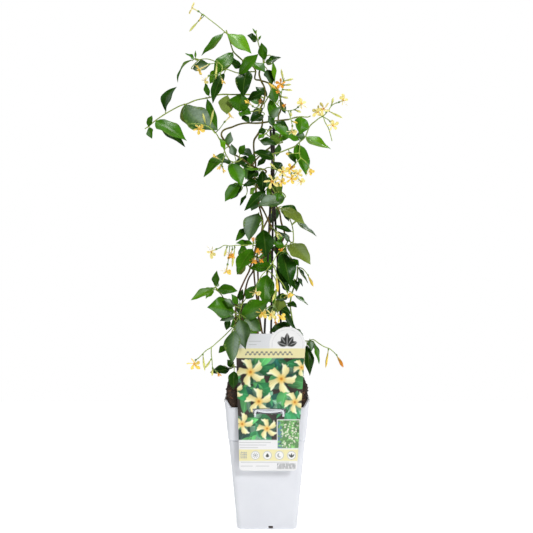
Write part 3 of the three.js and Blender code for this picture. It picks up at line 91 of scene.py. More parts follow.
shoots = {
    "shoot_crown_left": {"thick": 2.0, "routes": [[[-33,644,-6],[-40,650,-4],[-47,657,-2],[-50,665,0],
     [-52,672,1],[-55,681,2],[-57,687,3]]], "leaves": [[-61,683,-92,651,10,45,2,-6,1,1],
     [-54,682,-21.5,654,19,30,0,-22,2,1],[-36,636,-57,643,15,35,-10,-20],[-48,656,-76,621,20,25,-6,-24,1,1]]},
    "shoot_crown_mid": {"thick": 1.8, "routes": [[[-8,636,-11],[-5,641,-8],[-8,655,-6],[-11,665,-5],
     [-13,672,-5],[-15,681,-5],[-15,687,-5]]], "leaves": [[-14,674,-28,680,10,30,-7,-14,0,1],
     [-3,645,-8,670,12,30,-10,-16,1],[-15,681,-20.5,690,3,20,-6,-8,2],[-12,673,-8,680,3,20,-6,-9,2],
     [-2,642,20,649,10,40,-8,-16,0,1],[6,650,11,611,6,60,-9,-14,2],[0,632,7,610,15,30,-12,-13],
     [-19,641,-2,627,14,35,-18,-28,1]]},
    "shoot_crown_out": {"thick": 1.6, "routes": [[[-16,629,-6],[-24,629,-14],[-32,628,-18],[-40,627,-19],
     [-52,631,-19],[-60,634,-18],[-72,643,-15],[-85,647,-12],[-99,645,-10]]],
     "leaves": [[-104,633,-79,639,16,30,-12,-18,4],[-101,646,-115,655,6,60,-10,-13,1],
     [-100,648,-100,659,3,20,-10,-11,2],[-103,646,-125,613,4,76,-10,-20,1,0,6],
     [-39,625,-12,654,17,30,-22,-34,1],[-27,631,-33,593,22,20,-22,-36,0,0,2],
     [-68,632,-80,612,13,30,-12,-4,2],[-60,627,-76,584,15,25,-22,-36,0,0,2]]},
    "runner_left": {"thick": 2.0, "routes": [[[-4,592,-10],[-14,596,-16],[-30,597,-18],[-50,597,-18],
     [-66,597,-18],[-80,593,-18],[-100,589,-16],[-112,584,-14],[-120,582,-13],[-130,577,-12],[-139,572,-11],
     [-150,565,-10],[-157,560,-9],[-165,553,-8],[-171,549,-8]]],
     "leaves": [[-142,573,-126,608,14,30,-11,-18,0,0,-6],[-81,595,-87,614,8,40,-16,-12,1],
     [-166,552,-161,568,9,30,-8,-12,1],[-165,551,-161,535,10,30,-9,-14,1],
     [-156,560,-112,532,22,35,-12,-36,1],[-150,557,-114,523,15,30,-2,-12,0,1],
     [-115,583,-68,547,32,35,-16,-24,4,1,8],[-115,583,-106,551,14,150,-10,-8,3,0,3],
     [-84,591,-69,548,11,30,-14,-10,1,1],[-55,596,-56,569,19,150,-22,-28,3,0,1.5]]},
    "shoot_centre_left": {"thick": 1.6, "routes": [[[-9,576,-11],[-18,574,-18],[-30,572,-21],
     [-38,572,-22]]], "leaves": [[-39,573,-35,600,28,20,-24,-30,1],[-38,572,-22,570,14,45,-24,-34,1],
     [-28,588,-2,602,12,30,-24,-30],[-35,567,-24,558,9,30,-24,-28],[-5,568,-23,558,13,30,-24,-30]]},
    "shoot_low_left": {"thick": 1.8, "routes": [[[-35,507,-15],[-42,503,-20],[-50,503,-22],[-57,512,-23],
     [-60,520,-23],[-65,532,-23],[-68,537,-22],[-72,544,-21],[-80,551,-20]]],
     "leaves": [[-54,526,-51,545,11,30,-24,-26,4],[-59,521,-66,536,7,40,-28,-34,2],
     [-45,511,-50,528,10,30,-23,-28,4],[-38,513,-31,527,10,30,-22,-26,1],
     [-61,515,-89,481,14,35,-24,-40,1,1],[-50,503,-66,502,8,40,-26,-34],
     [-49,501,-35.5,468.5,21,25,-24,-38,1,1]]},
    "shoot_tie": {"thick": 1.6, "routes": [[[10,560,-18],[10,555,-24],[4,548,-26],[-4,540,-26]]],
     "leaves": [[13,560,31,545,12,35,-23,-28],[10,556,33,535,14,30,-28,-38,1],
     [5,563,18,580,12,30,-26,-28,4],[4,538,20,531,11,150,-30,-38,2],[-10,533,14,526,12,35,-28,-36],
     [-4,541,-13,535,7,30,-30,-34,2],[-2,548,-12,542,10,30,-24,-26],[9,553,1,568,9,30,-27,-31]]},
    "shoot_loop_right": {"thick": 2.0, "routes": [[[30,562,-15],[40,565,-15],[48,566,-15],[58,565.5,-15],
     [61,567,-15]]], "leaves": [[49,565,46,541,21,20,-17,-24,1,1]]},
    "shoot_right": {"thick": 2.0, "routes": [[[-18,515,-10],[-8,513,-15],[4,513,-18],[12,515,-18],
     [18,516,-18],[28,520,-18],[40,525,-17],[45,530,-16],[53,537,-14],[60,553,-12],[68,560,-11],
     [73,564,-10],[77,566,-10]]], "leaves": [[53,538,40,540,12,30,-16,-20,4],
     [55,538,90,520,12,45,-16,-30,2,1],[43,527,55,483,20,25,-22,-38,1,1],[31,517,41,499,8,30,-20,-28,1,1],
     [46,533,26,539,9,40,-20,-30,1],[9,508,-19,517,15,30,-24,-34],[10,503,22,485,13,30,-20,-24],
     [-1,509,-14,496,8,30,-20,-25]]},
    "shoot_mid_left": {"thick": 1.6, "routes": [[[-16,495,-13],[-19,489,-19],[-24,483,-21]]],
     "leaves": [[-13,491,-28,477,14,30,-20,-26],[-12,476,-34,468,11,45,-24,-34],
     [-8,490,-31,493,4,65,-24,-28,2],[-24,500,-19,514,11,30,-20,-18,1],[-6,491,-6,458,14,30,-21,-28],
     [-28,497,-39,500,7,30,-20,-24]]},
    "shoot_mid_low_left": {"thick": 1.6, "routes": [[[-18,474,-10],[-24,472,-17],[-32,471,-21],
     [-38,471,-23]]], "leaves": [[-39,473,-59,447,16,35,-25,-36,1,1],[-36,470,-51,450,11,30,-20,-18,0,1],
     [-29,457,-38,441,5,50,-21,-27],[-16,467,-24,457,6,130,-20,-24,2]]},
    "shoot_mid_right": {"thick": 1.8, "routes": [[[4,450,-19],[8,455,-26],[14,461,-29],[20,461,-30],
     [25,456,-30]]], "leaves": [[-2,463,-32,434,14,30,-28,-42],[3,452,-15,448,6,55,-30,-38],
     [3,469,1,452,7,30,-28,-32,2],[12,475,18,452,13,150,-28,-36,1],[16,460,5,438,12,30,-34,-46,1],
     [25,453,-14,441,17,40,-34,-52,4]]},
    "shoot_lower_left": {"thick": 1.8, "routes": [[[-6,420,-12],[-10,425,-20],[-13,430,-25]]],
     "leaves": [[-12,431,-25,391,23,25,-28,-42,4,0,3],[-10,414,-38,404,12,40,-22,-30],
     [-26,411,-44,392,10,40,-25,-31,1],[-5,408,-1,369,24,20,-30,-36]]},
    "shoot_big_leaf": {"thick": 1.8, "routes": [[[24.5,402,8],[31,397,-4],[27,387,-14],[25,376,-18]]],
     "leaves": [[22,375,33,326,24,25,-20,-42,0,1],[24,386,9,388,11,30,-14,-18,1],
     [33,391,14,406,7,55,-12,-20,4],[35,367,45,357,8,30,-20,-24,1]]},
    "shoot_hook": {"thick": 1.8, "routes": [[[16,436,-16],[22,437,-21],[28,430,-22],[33,420,-22],
     [36,410,-22],[37,400,-22],[37,392,-22],[36,387,-23]]], "leaves": [[21,438,53,416,15,40,-23,-38,3,1],
     [22,436,31,419,7,30,-24,-30],[43,419,70,398,6,60,-26,-32,4,1],[33,388,61,359,22,35,-25,-42,3,1],
     [35,405,9,414,7,40,-25,-31]]},
    "shoot_low_mid": {"thick": 1.6, "routes": [[[-12,385,-25],[-16,386,-29],[-20,385,-31]]],
     "leaves": [[-20,388,-44,389,9,50,-31,-36,1],[-20,381,-42,345,20,25,-32,-44,1,0,1.5]]},
    "shoot_label": {"thick": 1.6, "routes": [[[-13,354,-5],[-7,357,-18],[0,355,-25],[2,350,-29],
     [0,345,-31]]], "leaves": [[0,345,-2,300,24,20,-32,-46,1,0,2.5],[9,356,-25,353,14,50,-27,-34,1],
     [13,355,31,321,11,30,-16,-24]]},
    "shoot_base_right": {"thick": 2.4, "routes": [[[30,120,10],[32,200,8],[34,240,0],[38,262,-6],
     [35,284,-11],[32.5,304,-15],[36,322,-17],[42,340,-16],[43,356,-16]]],
     "leaves": [[43,356,58,332,3,76,-18,-24,0,1],[42,342,50,328,5,60,-18,-22],[38,338,41,321,11,30,-18,-22],
     [29,314,11,311,10,40,-20,-26],[19,314,14,291,15,150,-26,-34,3],[30,305,42,299,9,40,-20,-30,0,1],
     [38,317,58,302,4,72,-18,-28,1,1],[20,297,42,264,8,40,-24,-36],[33,276,3,264,13,40,-16,-30],
     [41,269,51,259,4,60,-16,-22,4,1],[31,322,19,337,9,30,-20,-28]]},
    "shoot_side_right": {"thick": 1.8, "routes": [[[34,243,-1],[42,250,-10],[50,252,-14],[58,252,-16],
     [64,251,-17]]], "leaves": [[60,254,62,237,9,30,-20,-24,4],[56,246,60,203,13,30,-16,-22,0,1],
     [66,250,73,219,6,60,-18,-26,1,1]]},
    "shoot_low_far": {"thick": 1.8, "routes": [[[-43,292,-24],[-50,297,-26],[-55,302,-26],[-61,312,-26],
     [-64,317,-26],[-71,324,-26]]], "leaves": [[-72,329,-70,351,10,30,-26,-32,1,1],
     [-74,327,-107,309,10,50,-26,-36,2,1],[-75,323,-86,311,8,40,-28,-34,2],
     [-69,325,-41,322,13,40,-28,-38,1]]},
    "shoot_skirt": {"thick": 1.8, "routes": [[[-44,278,-24],[-40,286,-31],[-37,296,-33],[-35,306,-33]]],
     "leaves": [[-46,292,-84,299,26,40,-32,-46,1,1,3],[-38,308,-34,325,8,30,-32,-34],
     [-30,311,-15,330,13,30,-34,-40,1],[-45,301,-61,310,9,40,-34,-42,4],[-36,286,2,307,24,30,-38,-54,1],
     [-46,287,-66,280,10,40,-36,-44,4],[-53,282,-57,267,9,30,-27,-29],[-41,303,-50,318,8,30,-34,-38,1],
     [-38,282,-30,240,21,20,-52,-72,4,0,-1.5],[-30,284,-9,265,19,30,-46,-62,4]]},
    "shoot_skirt_low": {"thick": 1.8, "routes": [[[-43,252,-22],[-48,258,-34],[-50,262,-48],[-49,266,-58]]],
     "leaves": [[-46,267,-49,220,21,25,-64,-76,4],[-56,246,-68,235,8,40,-36,-40,1,1],
     [-50,258,-54,236,12,30,-32,-34,0,1]]},
    "shoot_rim": {"thick": 1.8, "routes": [[[-41,215,-19],[-46,216,-26],[-50,214,-34]]],
     "leaves": [[-52,213,-80,208,10,50,-35,-46,0,1],[-48,216,-56,226,9,30,-34,-38,1],
     [-46,210,-47,184,14,25,-64,-68]]},
    "shoot_back_low": {"thick": 2.0, "routes": [[[-9,270,33],[-12,274,38],[-14,276,42]],[[-14,276,42],
     [-20,284,45]],[[-14,276,42],[-6,292,46],[8,304,47]],[[-14,276,42],[-2,258,46],[10,248,46],
     [20,244,44]]], "leaves": [[-22,286,-52,272,18,40,46,62,1],[-20,288,-46,304,18,40,44,58],
     [-16,280,-24,246,18,25,46,66,2],[9,304,-2,330,18,25,48,56,1],[10,303,34,290,18,40,48,66],
     [6,302,4,284,14,25,50,62,1],[21,246,42,262,14,30,44,56,2],[20,242,34,216,15,30,44,60]]},
    "shoot_back_mid_low": {"thick": 2.0, "routes": [[[-18,350,31],[-24,356,40]],[[-24,356,40],[-30,362,43]],
     [[-24,356,40],[-14,372,45],[6,384,46]]], "leaves": [[-31,363,-42,345,16,30,45,58,3],
     [-28,362,-36,388,16,30,44,54,1],[8,384,30,366,20,30,48,66],[6,386,24,400,14,40,48,58,1],
     [2,384,-6,352,20,20,50,70,1]]},
    "shoot_back_mid": {"thick": 2.0, "routes": [[[4,430,26],[10,436,36]],[[10,436,36],[18,440,42]],
     [[10,436,36],[2,450,42],[-10,464,40]]], "leaves": [[20,440,48,424,16,40,44,60],
     [17,438,2,416,14,25,44,58],[14,442,20,462,14,30,42,52,2],[-8,465,12,482,12,40,42,56,1],
     [-10,462,-22,434,16,25,44,62],[-6,466,-26,480,13,35,42,52]]},
    "shoot_back_high": {"thick": 2.0, "routes": [[[8,526,18],[14,528,30]],[[14,528,30],[22,530,38]],
     [[14,528,30],[0,520,38],[-22,506,38]]], "leaves": [[21,531,6,544,12,40,40,54,2],
     [22,532,40,548,14,40,40,50,1],[17,528,13,510,9,25,40,52,1],[-24,506,-46,500,14,40,40,54],
     [-20,504,-30,478,16,25,40,58,1],[-22,508,-36,522,13,35,38,50]]},
    "shoot_back_crown": {"thick": 1.8, "routes": [[[2,613,10],[6,604,20],[2,594,30]],[[2,594,30],
     [-4,584,34]],[[2,594,30],[20,578,38]]], "leaves": [[-5,578,-24,560,13,30,36,52],
     [-4,584,-30,592,13,40,36,50,1],[0,594,-16,608,12,30,32,42],[18,588,26,570,8,30,40,48],
     [7,611,12,584,15,30,22,36,1],[4,590,10,560,15,25,38,52,1]]},
}
sprays = {
    "spray_top": {"stalks": [[[-55,681,2],[-65,690,0],[-75,698,-2],[-83,704,-3],[-90,710,-4]]],
     "flowers": [[-104.5,718,-6,-95,713,-4,20,10,0]], "buds": [[-95,701,-5,-109,685,-7,4,0],
     [-91,709,-5,-95,699,-6,2.5,1]]},
    "spray_crown_out": {"stalks": [[[-60,634,-18],[-63,637,-25]],[[-63,637,-25],[-71,645,-25]],
     [[-63,637,-25],[-63,631,-34],[-66,625,-38]]], "flowers": [[-95,632,-30,-80,640,-26,17,20,1],
     [-87,617,-40,-81,624,-37,14,0,0],[-61,613,-44,-65,622,-40,9,0,1]],
     "buds": [[-70,644,-25,-72,618,-29,4,0]]},
    "spray_left": {"stalks": [[[-72,544,-21],[-73,543,-29],[-78,549,-36],[-84,553,-39],[-96,556,-40],
     [-107,556,-40]]], "flowers": [[-95,549,-50,-94,555,-42,18,30,1],[-51,567,-32,-60,558,-28,12,0,1]],
     "buds": [[-86,555,-39,-90,571,-40,4,0],[-80,552,-37,-75,576,-38,4,0]]},
    "spray_centre": {"stalks": [[[-9,578,-10],[-12,578,-20],[-17,579,-30]]],
     "flowers": [[-30,589,-40,-19,580,-33,10,0,1],[-9,588,-38,-12,581,-32,9,0,3]], "buds": []},
    "spray_crown_right": {"stalks": [[[19,590,-6],[20,598,-13],[22,608,-15],[24,620,-15]]],
     "flowers": [[19,612,-26,22,610,-17,16,0,2],[14,601,-24,19,600,-16,8,0,2]],
     "buds": [[20,600,-14,2,613,-22,5,1],[23,614,-16,20,633,-17,4,0],[24,616,-16,37,619,-20,4,0],
     [23,610,-16,34,611,-20,3.5,0],[22,604,-15,36,603,-20,3.5,0],[20,594,-11,30,592,-16,4,0]]},
    "spray_tie": {"stalks": [[[19,577,-10],[25,575,-17],[30,574,-20]],[[30,574,-20],[40,576,-24]],
     [[30,574,-20],[33,564,-32],[35,556,-42]]], "flowers": [[48.5,584,-34,43,579,-26,18,15,0],
     [35,545,-46,35.5,554,-43,17,0,0],[24,582,-26,23,577,-18,9,0,2]], "buds": [[33,574,-22,34,566,-24,4,0],
     [38,576,-24,48,572,-26,4,0],[34,560,-37,43,557,-40,3.5,1]]},
    "spray_heart": {"stalks": [[[-5,492,-11],[2,495,-20],[10,493,-28],[16,491,-32],[28,490,-35],
     [40,486,-36]]], "flowers": [[22,489,-48,20,491,-35,16,0,0],[33,493,-48,31,491,-37,16,20,1],
     [43,486,-46,39,487,-37,16,40,0],[34,479,-50,34,486,-39,17,60,1],[47,475,-42,42,482,-37,15,10,0],
     [20,475,-50,22,484,-38,15,30,1],[7,475.5,-46,8,479,-36,24,18,0]], "buds": [[14,492,-32,4,501,-36,4,0]]},
    "spray_right_low": {"stalks": [[[45,530,-16],[46,524,-30],[45,515,-40]],[[45,515,-40],[47,508,-44]],
     [[47,508,-44],[52,505,-45],[57,499,-46]],[[47,508,-44],[38,499,-47]],[[45,515,-40],[31,514,-38]]],
     "flowers": [[60,489,-53,58,496,-48,14,0,1]], "buds": [[33,514,-38,26,514,-39,5,1],
     [39,500,-47,33,493.5,-50,3,3]]},
    "spray_left_gold": {"stalks": [[[-57,512,-23],[-60,509,-36],[-63,502,-43]]],
     "flowers": [[-67,495,-48,-64,499,-44,9,0,1],[-60,489,-48,-63,497,-44,8,0,1],
     [-76,512,-46,-66,506,-42,8,0,1]], "buds": []},
    "spray_low_left": {"stalks": [[[-12,385,-25],[-17,389,-36],[-22,387,-40],[-34,386,-42],[-43,386,-42],
     [-52,385,-42],[-60,386,-42],[-66,382,-42]]], "flowers": [[-78,377,-50,-70,381,-44,21,25,0],
     [-52,372,-50,-48,381,-44,17,0,2],[-19,395,-48,-19,390,-41,9,0,2],[-57,350,-55,-55,360,-50,17,0,1]],
     "buds": [[-56,384,-43,-60,370,-46,4,0],[-45,384,-43,-49,355,-52,4,0]]},
    "spray_trunk": {"stalks": [[[-17,375,-24],[-15,374,-34],[-13,371,-40]]],
     "flowers": [[-19,364,-46,-16,371,-41,12,0,2],[-11,377,-46,-13,373,-41,12,25,2],
     [-8,364,-46,-12,369,-41,9,0,2]], "buds": []},
    "spray_big_leaf": {"stalks": [[[27,387,-14],[31,385,-21],[34,384,-25]]],
     "flowers": [[18,379,-34,26,384,-24,9,0,2]], "buds": [[33,384.5,-24,44,382,-28,5,0]]},
    "spray_node": {"stalks": [[[4.6,411.5,-18.5],[9,409,-25],[11,407,-28]]], "flowers": [],
     "buds": [[9,409,-25,17,394,-32,3.5,0],[11,407,-28,21,398,-32,3.5,0]]},
    "spray_front_low": {"stalks": [[[25,378,-17],[18,377,-32],[14,373,-42],[8,362,-50],[0,352,-51],
     [-8,343,-52],[-14,331,-52]],[[8,362,-50],[12,350,-52],[16,340,-53],[22,332,-53],[27,323,-53]]],
     "flowers": [[-16,320,-57,-15,329,-53,18,0,0],[30,316,-57,28,322,-54,15,0,1]],
     "buds": [[13,345,-52,15,320,-54,5,1]]},
    "spray_label": {"stalks": [[[2,350,-29],[10,342,-36],[14,330,-44],[12,312,-50],[10,300,-52]]],
     "flowers": [[-7,291,-61,-1,298,-54,19,0,1],[5,289,-64,8,297,-55,19,20,0],
     [18,285,-62,14,294,-54,19,40,1],[12,276,-62,11,285,-57,8,0,3]], "buds": [[13,324,-46,7,307,-50,4,0]]},
    "spray_hang_left": {"stalks": [[[-44,276,-24],[-50,269,-34],[-55,264,-42],[-60,259,-44],[-70,250,-46],
     [-78,243,-47],[-85,239,-48],[-91,233,-48],[-97,227,-49]],[[-78,243,-47],[-78,233,-48],[-77,225,-48],
     [-76,215,-48],[-73,211,-48]]], "flowers": [[-102,220,-58,-99.5,226,-50,22,10,1],
     [-67,204,-52,-71,210,-49,9,0,2]], "buds": [[-90,234,-48,-87,210,-50,4,0],[-78,227,-48,-86,214,-50,4,0],
     [-76,215,-48,-77,203,-50,4,0]]},
    "spray_hang_right": {"stalks": [[[58,252,-16],[65,254,-24],[72,249,-27],[80,244,-28],[88,241,-29],
     [97,233,-30]]], "flowers": [], "buds": [[97,233,-30,107,215,-33,6,2],[86,241,-29,82,214,-31,4,1]]},
    "spray_right": {"stalks": [[[73,564,-10],[80,568,-14],[86,575,-16],[91,582,-17],[98,586,-18]],
     [[78,566,-13],[84,563,-16],[87,561,-18]],[[79,567,-14],[81,559,-19],[86,550,-20],[89,540,-20],
     [91,532,-20]]], "flowers": [[71,573,-24,76,568,-15,20,0,0],[79,577,-30,83,572,-18,23,30,0],
     [107,589,-24,100,586,-18,20,0,0],[92,554,-28,88,560,-19,19,20,0]],
     "buds": [[90,581,-17,93,593,-19,4,0],[86,574,-16,106,564,-20,4,0]]},
    "spray_low_right": {"stalks": [[[43,355,-16],[50,353,-28],[57,345,-32]]], "flowers": [],
     "buds": [[57,345,-32,65,328,-34,5,1]]},
}


def linear(code):
    # Each sRGB channel c becomes ((c + 0.055) / 1.055) ^ 2.4, or c / 12.92 in the darks.
    c = np.array([code >> 16 & 255, code >> 8 & 255, code & 255]) / 255
    return np.where(c > 0.04045, ((c + 0.055) / 1.055) ** 2.4, c / 12.92)


def newFinish(name, sockets):
    # A material, its node tree and its shader, with the shader's own values set.
    material = bpy.data.materials.new(name)
    material.use_nodes = True
    shader = material.node_tree.nodes["Principled BSDF"]
    for socket, value in sockets.items():
        shader.inputs[socket].default_value = value
    return material, material.node_tree, shader


def addNode(tree, kind, inputs=(), **settings):
    # An input is a socket to link to, a plain value, or None to leave the node's own.
    node = tree.nodes.new(kind)
    for key, value in settings.items():
        setattr(node, key, value)
    for socket, value in zip(node.inputs, inputs):
        if isinstance(value, bpy.types.NodeSocket):
            tree.links.new(value, socket)
        elif value is not None:
            socket.default_value = value
    return node


def maths(tree, operation, *inputs):
    # The result of one Math node.
    return addNode(tree, "ShaderNodeMath", inputs, operation=operation).outputs[0]


def mapRange(tree, value, fromLow, fromHigh, toLow, toHigh):
    # The value carried in proportion from the first range to the second, and held inside it.
    return addNode(tree, "ShaderNodeMapRange", (value, fromLow, fromHigh, toLow, toHigh)).outputs[0]


def mixColour(tree, factor, first, second, blend="MIX"):
    # The node's two colours are its inputs 6 and 7.
    inputs = (factor, *[None] * 5, first, second)
    return addNode(tree, "ShaderNodeMix", inputs, data_type="RGBA", blend_type=blend).outputs[2]


def shadeColour(tree, colour, shade):
    # colour * shade, for a plain number from another node
    grey = addNode(tree, "ShaderNodeCombineColor", (shade, shade, shade)).outputs[0]
    return mixColour(tree, 1.0, colour, grey, "MULTIPLY")


def objectNoise(tree, scale, detail, stretch=None):
    # Noise on Object coordinates; the scale is per metre, and a stretch below 1 draws it out along that axis.
    place = addNode(tree, "ShaderNodeTexCoord").outputs["Object"]
    if stretch:
        place = addNode(tree, "ShaderNodeMapping", (place, None, None, stretch)).outputs[0]
    return addNode(tree, "ShaderNodeTexNoise", (place, None, scale, detail, 0.55)).outputs["Fac"]


def mottle(tree, scale, detail, fromLow, fromHigh, toLow, toHigh):
    # Noise carried from one range to another.
    return mapRange(tree, objectNoise(tree, scale, detail), fromLow, fromHigh, toLow, toHigh)


def toneOf(tree):
    # The colour that each point of the piece carries.
    return addNode(tree, "ShaderNodeAttribute", attribute_name="tone").outputs["Color"]


def leafPlace(tree):
    # The piece's own UV map: u runs across a leaf or petal and v along it.
    place = addNode(tree, "ShaderNodeUVMap", uv_map="leafMap").outputs[0]
    return addNode(tree, "ShaderNodeSeparateXYZ", (place,)).outputs[:2]


def finishWith(tree, shader, colour, height, strength, distance):
    # The colour goes to the shader, and the height to its bump.
    bump = addNode(tree, "ShaderNodeBump", (strength, distance))
    tree.links.new(height, bump.inputs["Height"])
    tree.links.new(bump.outputs[0], shader.inputs["Normal"])
    tree.links.new(colour, shader.inputs["Base Color"])


# In every finish a mottle is (scale, detail, noise from, noise to, value from, value to), a noise is (scale,
# detail, stretch) and a bump is (strength, distance in metres).
leafSkin = {
    "upside": {"Roughness": 0.3, "Specular IOR Level": 0.15},
    "underside": {"Roughness": 0.5, "Specular IOR Level": 0.08},
    "ribEdge": (0.015, 0.05), "ribMix": 0.35, "ribTint": (0.24, 0.38, 0.06, 1), "ribHeight": 0.6,
    "veins": 9.0, "veinSlant": -3.6, "veinEdge": (0.02, 0.12), "veinShade": 0.82, "veinHeight": 0.5,
    "patch": (45, 3, 0.3, 0.7, 0.72, 1.25), "fleck": (320, 2, 0.3, 0.75, 0.93, 1.07),
    "underMix": 0.5, "underTint": (0.2, 0.29, 0.06, 1), "swell": (90, 0), "swellHeight": 0.9,
    "bump": (0.24, 0.0006),
}


def leafFinish(name, under):
    # The blade is its tone, mottled twice. The midrib is where off = |u - 0.5| is small, and a side vein
    # where 9 v - 3.6 off comes near a whole number.
    skin = leafSkin
    material, tree, shader = newFinish(name, skin["underside" if under else "upside"])
    u, v = leafPlace(tree)
    off = maths(tree, "ABSOLUTE", maths(tree, "SUBTRACT", u, 0.5))
    rib = mapRange(tree, off, *skin["ribEdge"], 1.0, 0.0)
    slant = maths(tree, "MULTIPLY_ADD", v, skin["veins"], maths(tree, "MULTIPLY", off, skin["veinSlant"]))
    vein = mapRange(tree, maths(tree, "PINGPONG", slant, 0.5), *skin["veinEdge"], 1.0, 0.0)
    shade = maths(tree, "MULTIPLY", mottle(tree, *skin["patch"]), mottle(tree, *skin["fleck"]))
    shade = maths(tree, "MULTIPLY", shade, mapRange(tree, vein, 0.0, 1.0, 1.0, skin["veinShade"]))
    blade = shadeColour(tree, toneOf(tree), shade)
    if under:
        blade = mixColour(tree, skin["underMix"], blade, skin["underTint"])
    pale = mixColour(tree, 0.5, blade, skin["ribTint"])
    colour = mixColour(tree, maths(tree, "MULTIPLY", rib, skin["ribMix"]), blade, pale)
    lines = maths(tree, "MAXIMUM", rib, maths(tree, "MULTIPLY", vein, skin["veinHeight"]))
    swell = maths(tree, "MULTIPLY", objectNoise(tree, *skin["swell"]), skin["swellHeight"])
    height = maths(tree, "MULTIPLY_ADD", lines, skin["ribHeight"] * (1 if under else -1), swell)
    finishWith(tree, shader, colour, height, *skin["bump"])
    return material


stemSkins = {
    "greenStem": {"roughness": 0.5, "noise": (260, 4, (1, 1, 0.3)), "darkest": 0.75, "depth": 0.0003},
    "bark": {"roughness": 0.85, "noise": (420, 4, (1, 1, 0.35)), "darkest": 0.45, "depth": 0.0008},
    "caneSkin": {"roughness": 0.45, "noise": (300, 4, (1, 1, 0.08)), "darkest": 0.6, "depth": 0.0003},
    "wire": {"roughness": 0.4, "noise": (500, 4), "darkest": 0.6, "depth": 0.0001},
    "rootHair": {"roughness": 0.9, "noise": (600, 4), "darkest": 0.5, "depth": 0.0002},
}


def stemFinish(name, roughness, noise, darkest, depth):
    # The tone of the stem, broken by streaks along its length.
    material, tree, shader = newFinish(name, {"Roughness": roughness})
    streak = objectNoise(tree, *noise)
    colour = shadeColour(tree, toneOf(tree), mapRange(tree, streak, 0.3, 0.7, darkest, 1.25))
    finishWith(tree, shader, colour, streak, 0.5, depth)
    return material


petalSkin = {
    "gloss": {"Roughness": 0.55, "Sheen Weight": 0.15}, "patch": (260, 3, 0.3, 0.7, 0.93, 1.05),
    "throat": (0.02, 0.3, 0.8, 0.0), "throatTint": (0.9, 0.5, 0.02, 1), "ribs": 38.0, "bump": (0.25, 0.0003),
}


def petalFinish():
    # Cream that warms to yellow and orange at the throat, where v is small; the ribs are sin(38 u).
    skin = petalSkin
    material, tree, shader = newFinish("petal", skin["gloss"])
    u, v = leafPlace(tree)
    petal = shadeColour(tree, toneOf(tree), mottle(tree, *skin["patch"]))
    colour = mixColour(tree, mapRange(tree, v, *skin["throat"]), petal, skin["throatTint"])
    ribs = maths(tree, "SINE", maths(tree, "MULTIPLY", u, skin["ribs"]))
    finishWith(tree, shader, colour, ribs, *skin["bump"])
    return material


plasticSkins = {
    "potPlastic": {"low": (0.675, 0.69, 0.735, 1), "high": (0.705, 0.72, 0.76, 1), "gloss": (0.36, 0.5)},
    "labelBack": {"low": (0.74, 0.74, 0.74, 1), "high": (0.8, 0.8, 0.8, 1), "gloss": (0.4, 0.54)},
}
mouldedSkin = {"cloud": (22, 5, 0.35, 0.65, 0.0, 1.0), "scuff": (160, 4, (1, 1, 0.4)), "peel": (900, 2),
               "bump": (0.12, 0.0002)}


def plasticFinish(name, low, high, gloss):
    # Moulded plastic: two near colours in faint clouds, fine scuffs in its gloss and an orange-peel bump.
    skin = mouldedSkin
    material, tree, shader = newFinish(name, {})
    colour = mixColour(tree, mottle(tree, *skin["cloud"]), low, high)
    scuff = mapRange(tree, objectNoise(tree, *skin["scuff"]), 0.3, 0.7, *gloss)
    tree.links.new(scuff, shader.inputs["Roughness"])
    finishWith(tree, shader, colour, objectNoise(tree, *skin["peel"]), *skin["bump"])
    return material


printSkin = {
    "gloss": {"Roughness": 0.34, "Coat Weight": 0.3, "Coat Roughness": 0.12},
    "grain": (1200, 2, 0.3, 0.7, 0.965, 1.03), "waves": (35, 2), "bump": (0.1, 0.0006),
}


def printFinish():
    # The drawn colours of the print under a clear film that is slightly wavy.
    skin = printSkin
    material, tree, shader = newFinish("labelPrint", skin["gloss"])
    colour = shadeColour(tree, toneOf(tree), mottle(tree, *skin["grain"]))
    finishWith(tree, shader, colour, objectNoise(tree, *skin["waves"]), *skin["bump"])
    return material


peatSkin = {
    "gloss": {"Roughness": 0.95}, "lump": (140, 6), "fibre": (900, 3, (1, 1, 0.25)),
    "black": (0.01, 0.007, 0.005, 1), "brown": (0.06, 0.033, 0.019, 1), "rust": (0.16, 0.068, 0.03, 1),
    "pale": (0.3, 0.24, 0.18, 1), "grain": (650, 1, 0.72, 0.78, 0.0, 0.6), "bump": (0.9, 0.002),
}


def peatFinish():
    # Near-black brown in lumps, with rusty fibres and pale grains where their noise is high.
    skin = peatSkin
    material, tree, shader = newFinish("peat", skin["gloss"])
    lump, fibre = objectNoise(tree, *skin["lump"]), objectNoise(tree, *skin["fibre"])
    colour = mixColour(tree, mapRange(tree, lump, 0.35, 0.65, 0.0, 1.0), skin["black"], skin["brown"])
    colour = mixColour(tree, mapRange(tree, fibre, 0.6, 0.72, 0.0, 0.75), colour, skin["rust"])
    colour = mixColour(tree, mottle(tree, *skin["grain"]), colour, skin["pale"])
    finishWith(tree, shader, colour, maths(tree, "ADD", lump, fibre), *skin["bump"])
    return material


finishes = {"leafTop": leafFinish("leafTop", False), "leafUnder": leafFinish("leafUnder", True),
            "petal": petalFinish(), "labelPrint": printFinish(), "peat": peatFinish()}
for name, skin in stemSkins.items():
    finishes[name] = stemFinish(name, **skin)
for name, skin in plasticSkins.items():
    finishes[name] = plasticFinish(name, **skin)
print("finishes made:", len(finishes))

frontward, skyward = np.array([0.0, -1.0, 0.0]), np.array([0.0, 0.0, 1.0])


def unit(v):
    # v / |v|
    return v / np.maximum(np.linalg.norm(v, axis=-1, keepdims=True), 1e-9)


def mixed(first, second, share):
    # first * (1 - share) + second * share
    return first * (1 - share) + second * share


def around(sides):
    # Even angles once round.
    return np.arange(sides) * 2 * np.pi / sides


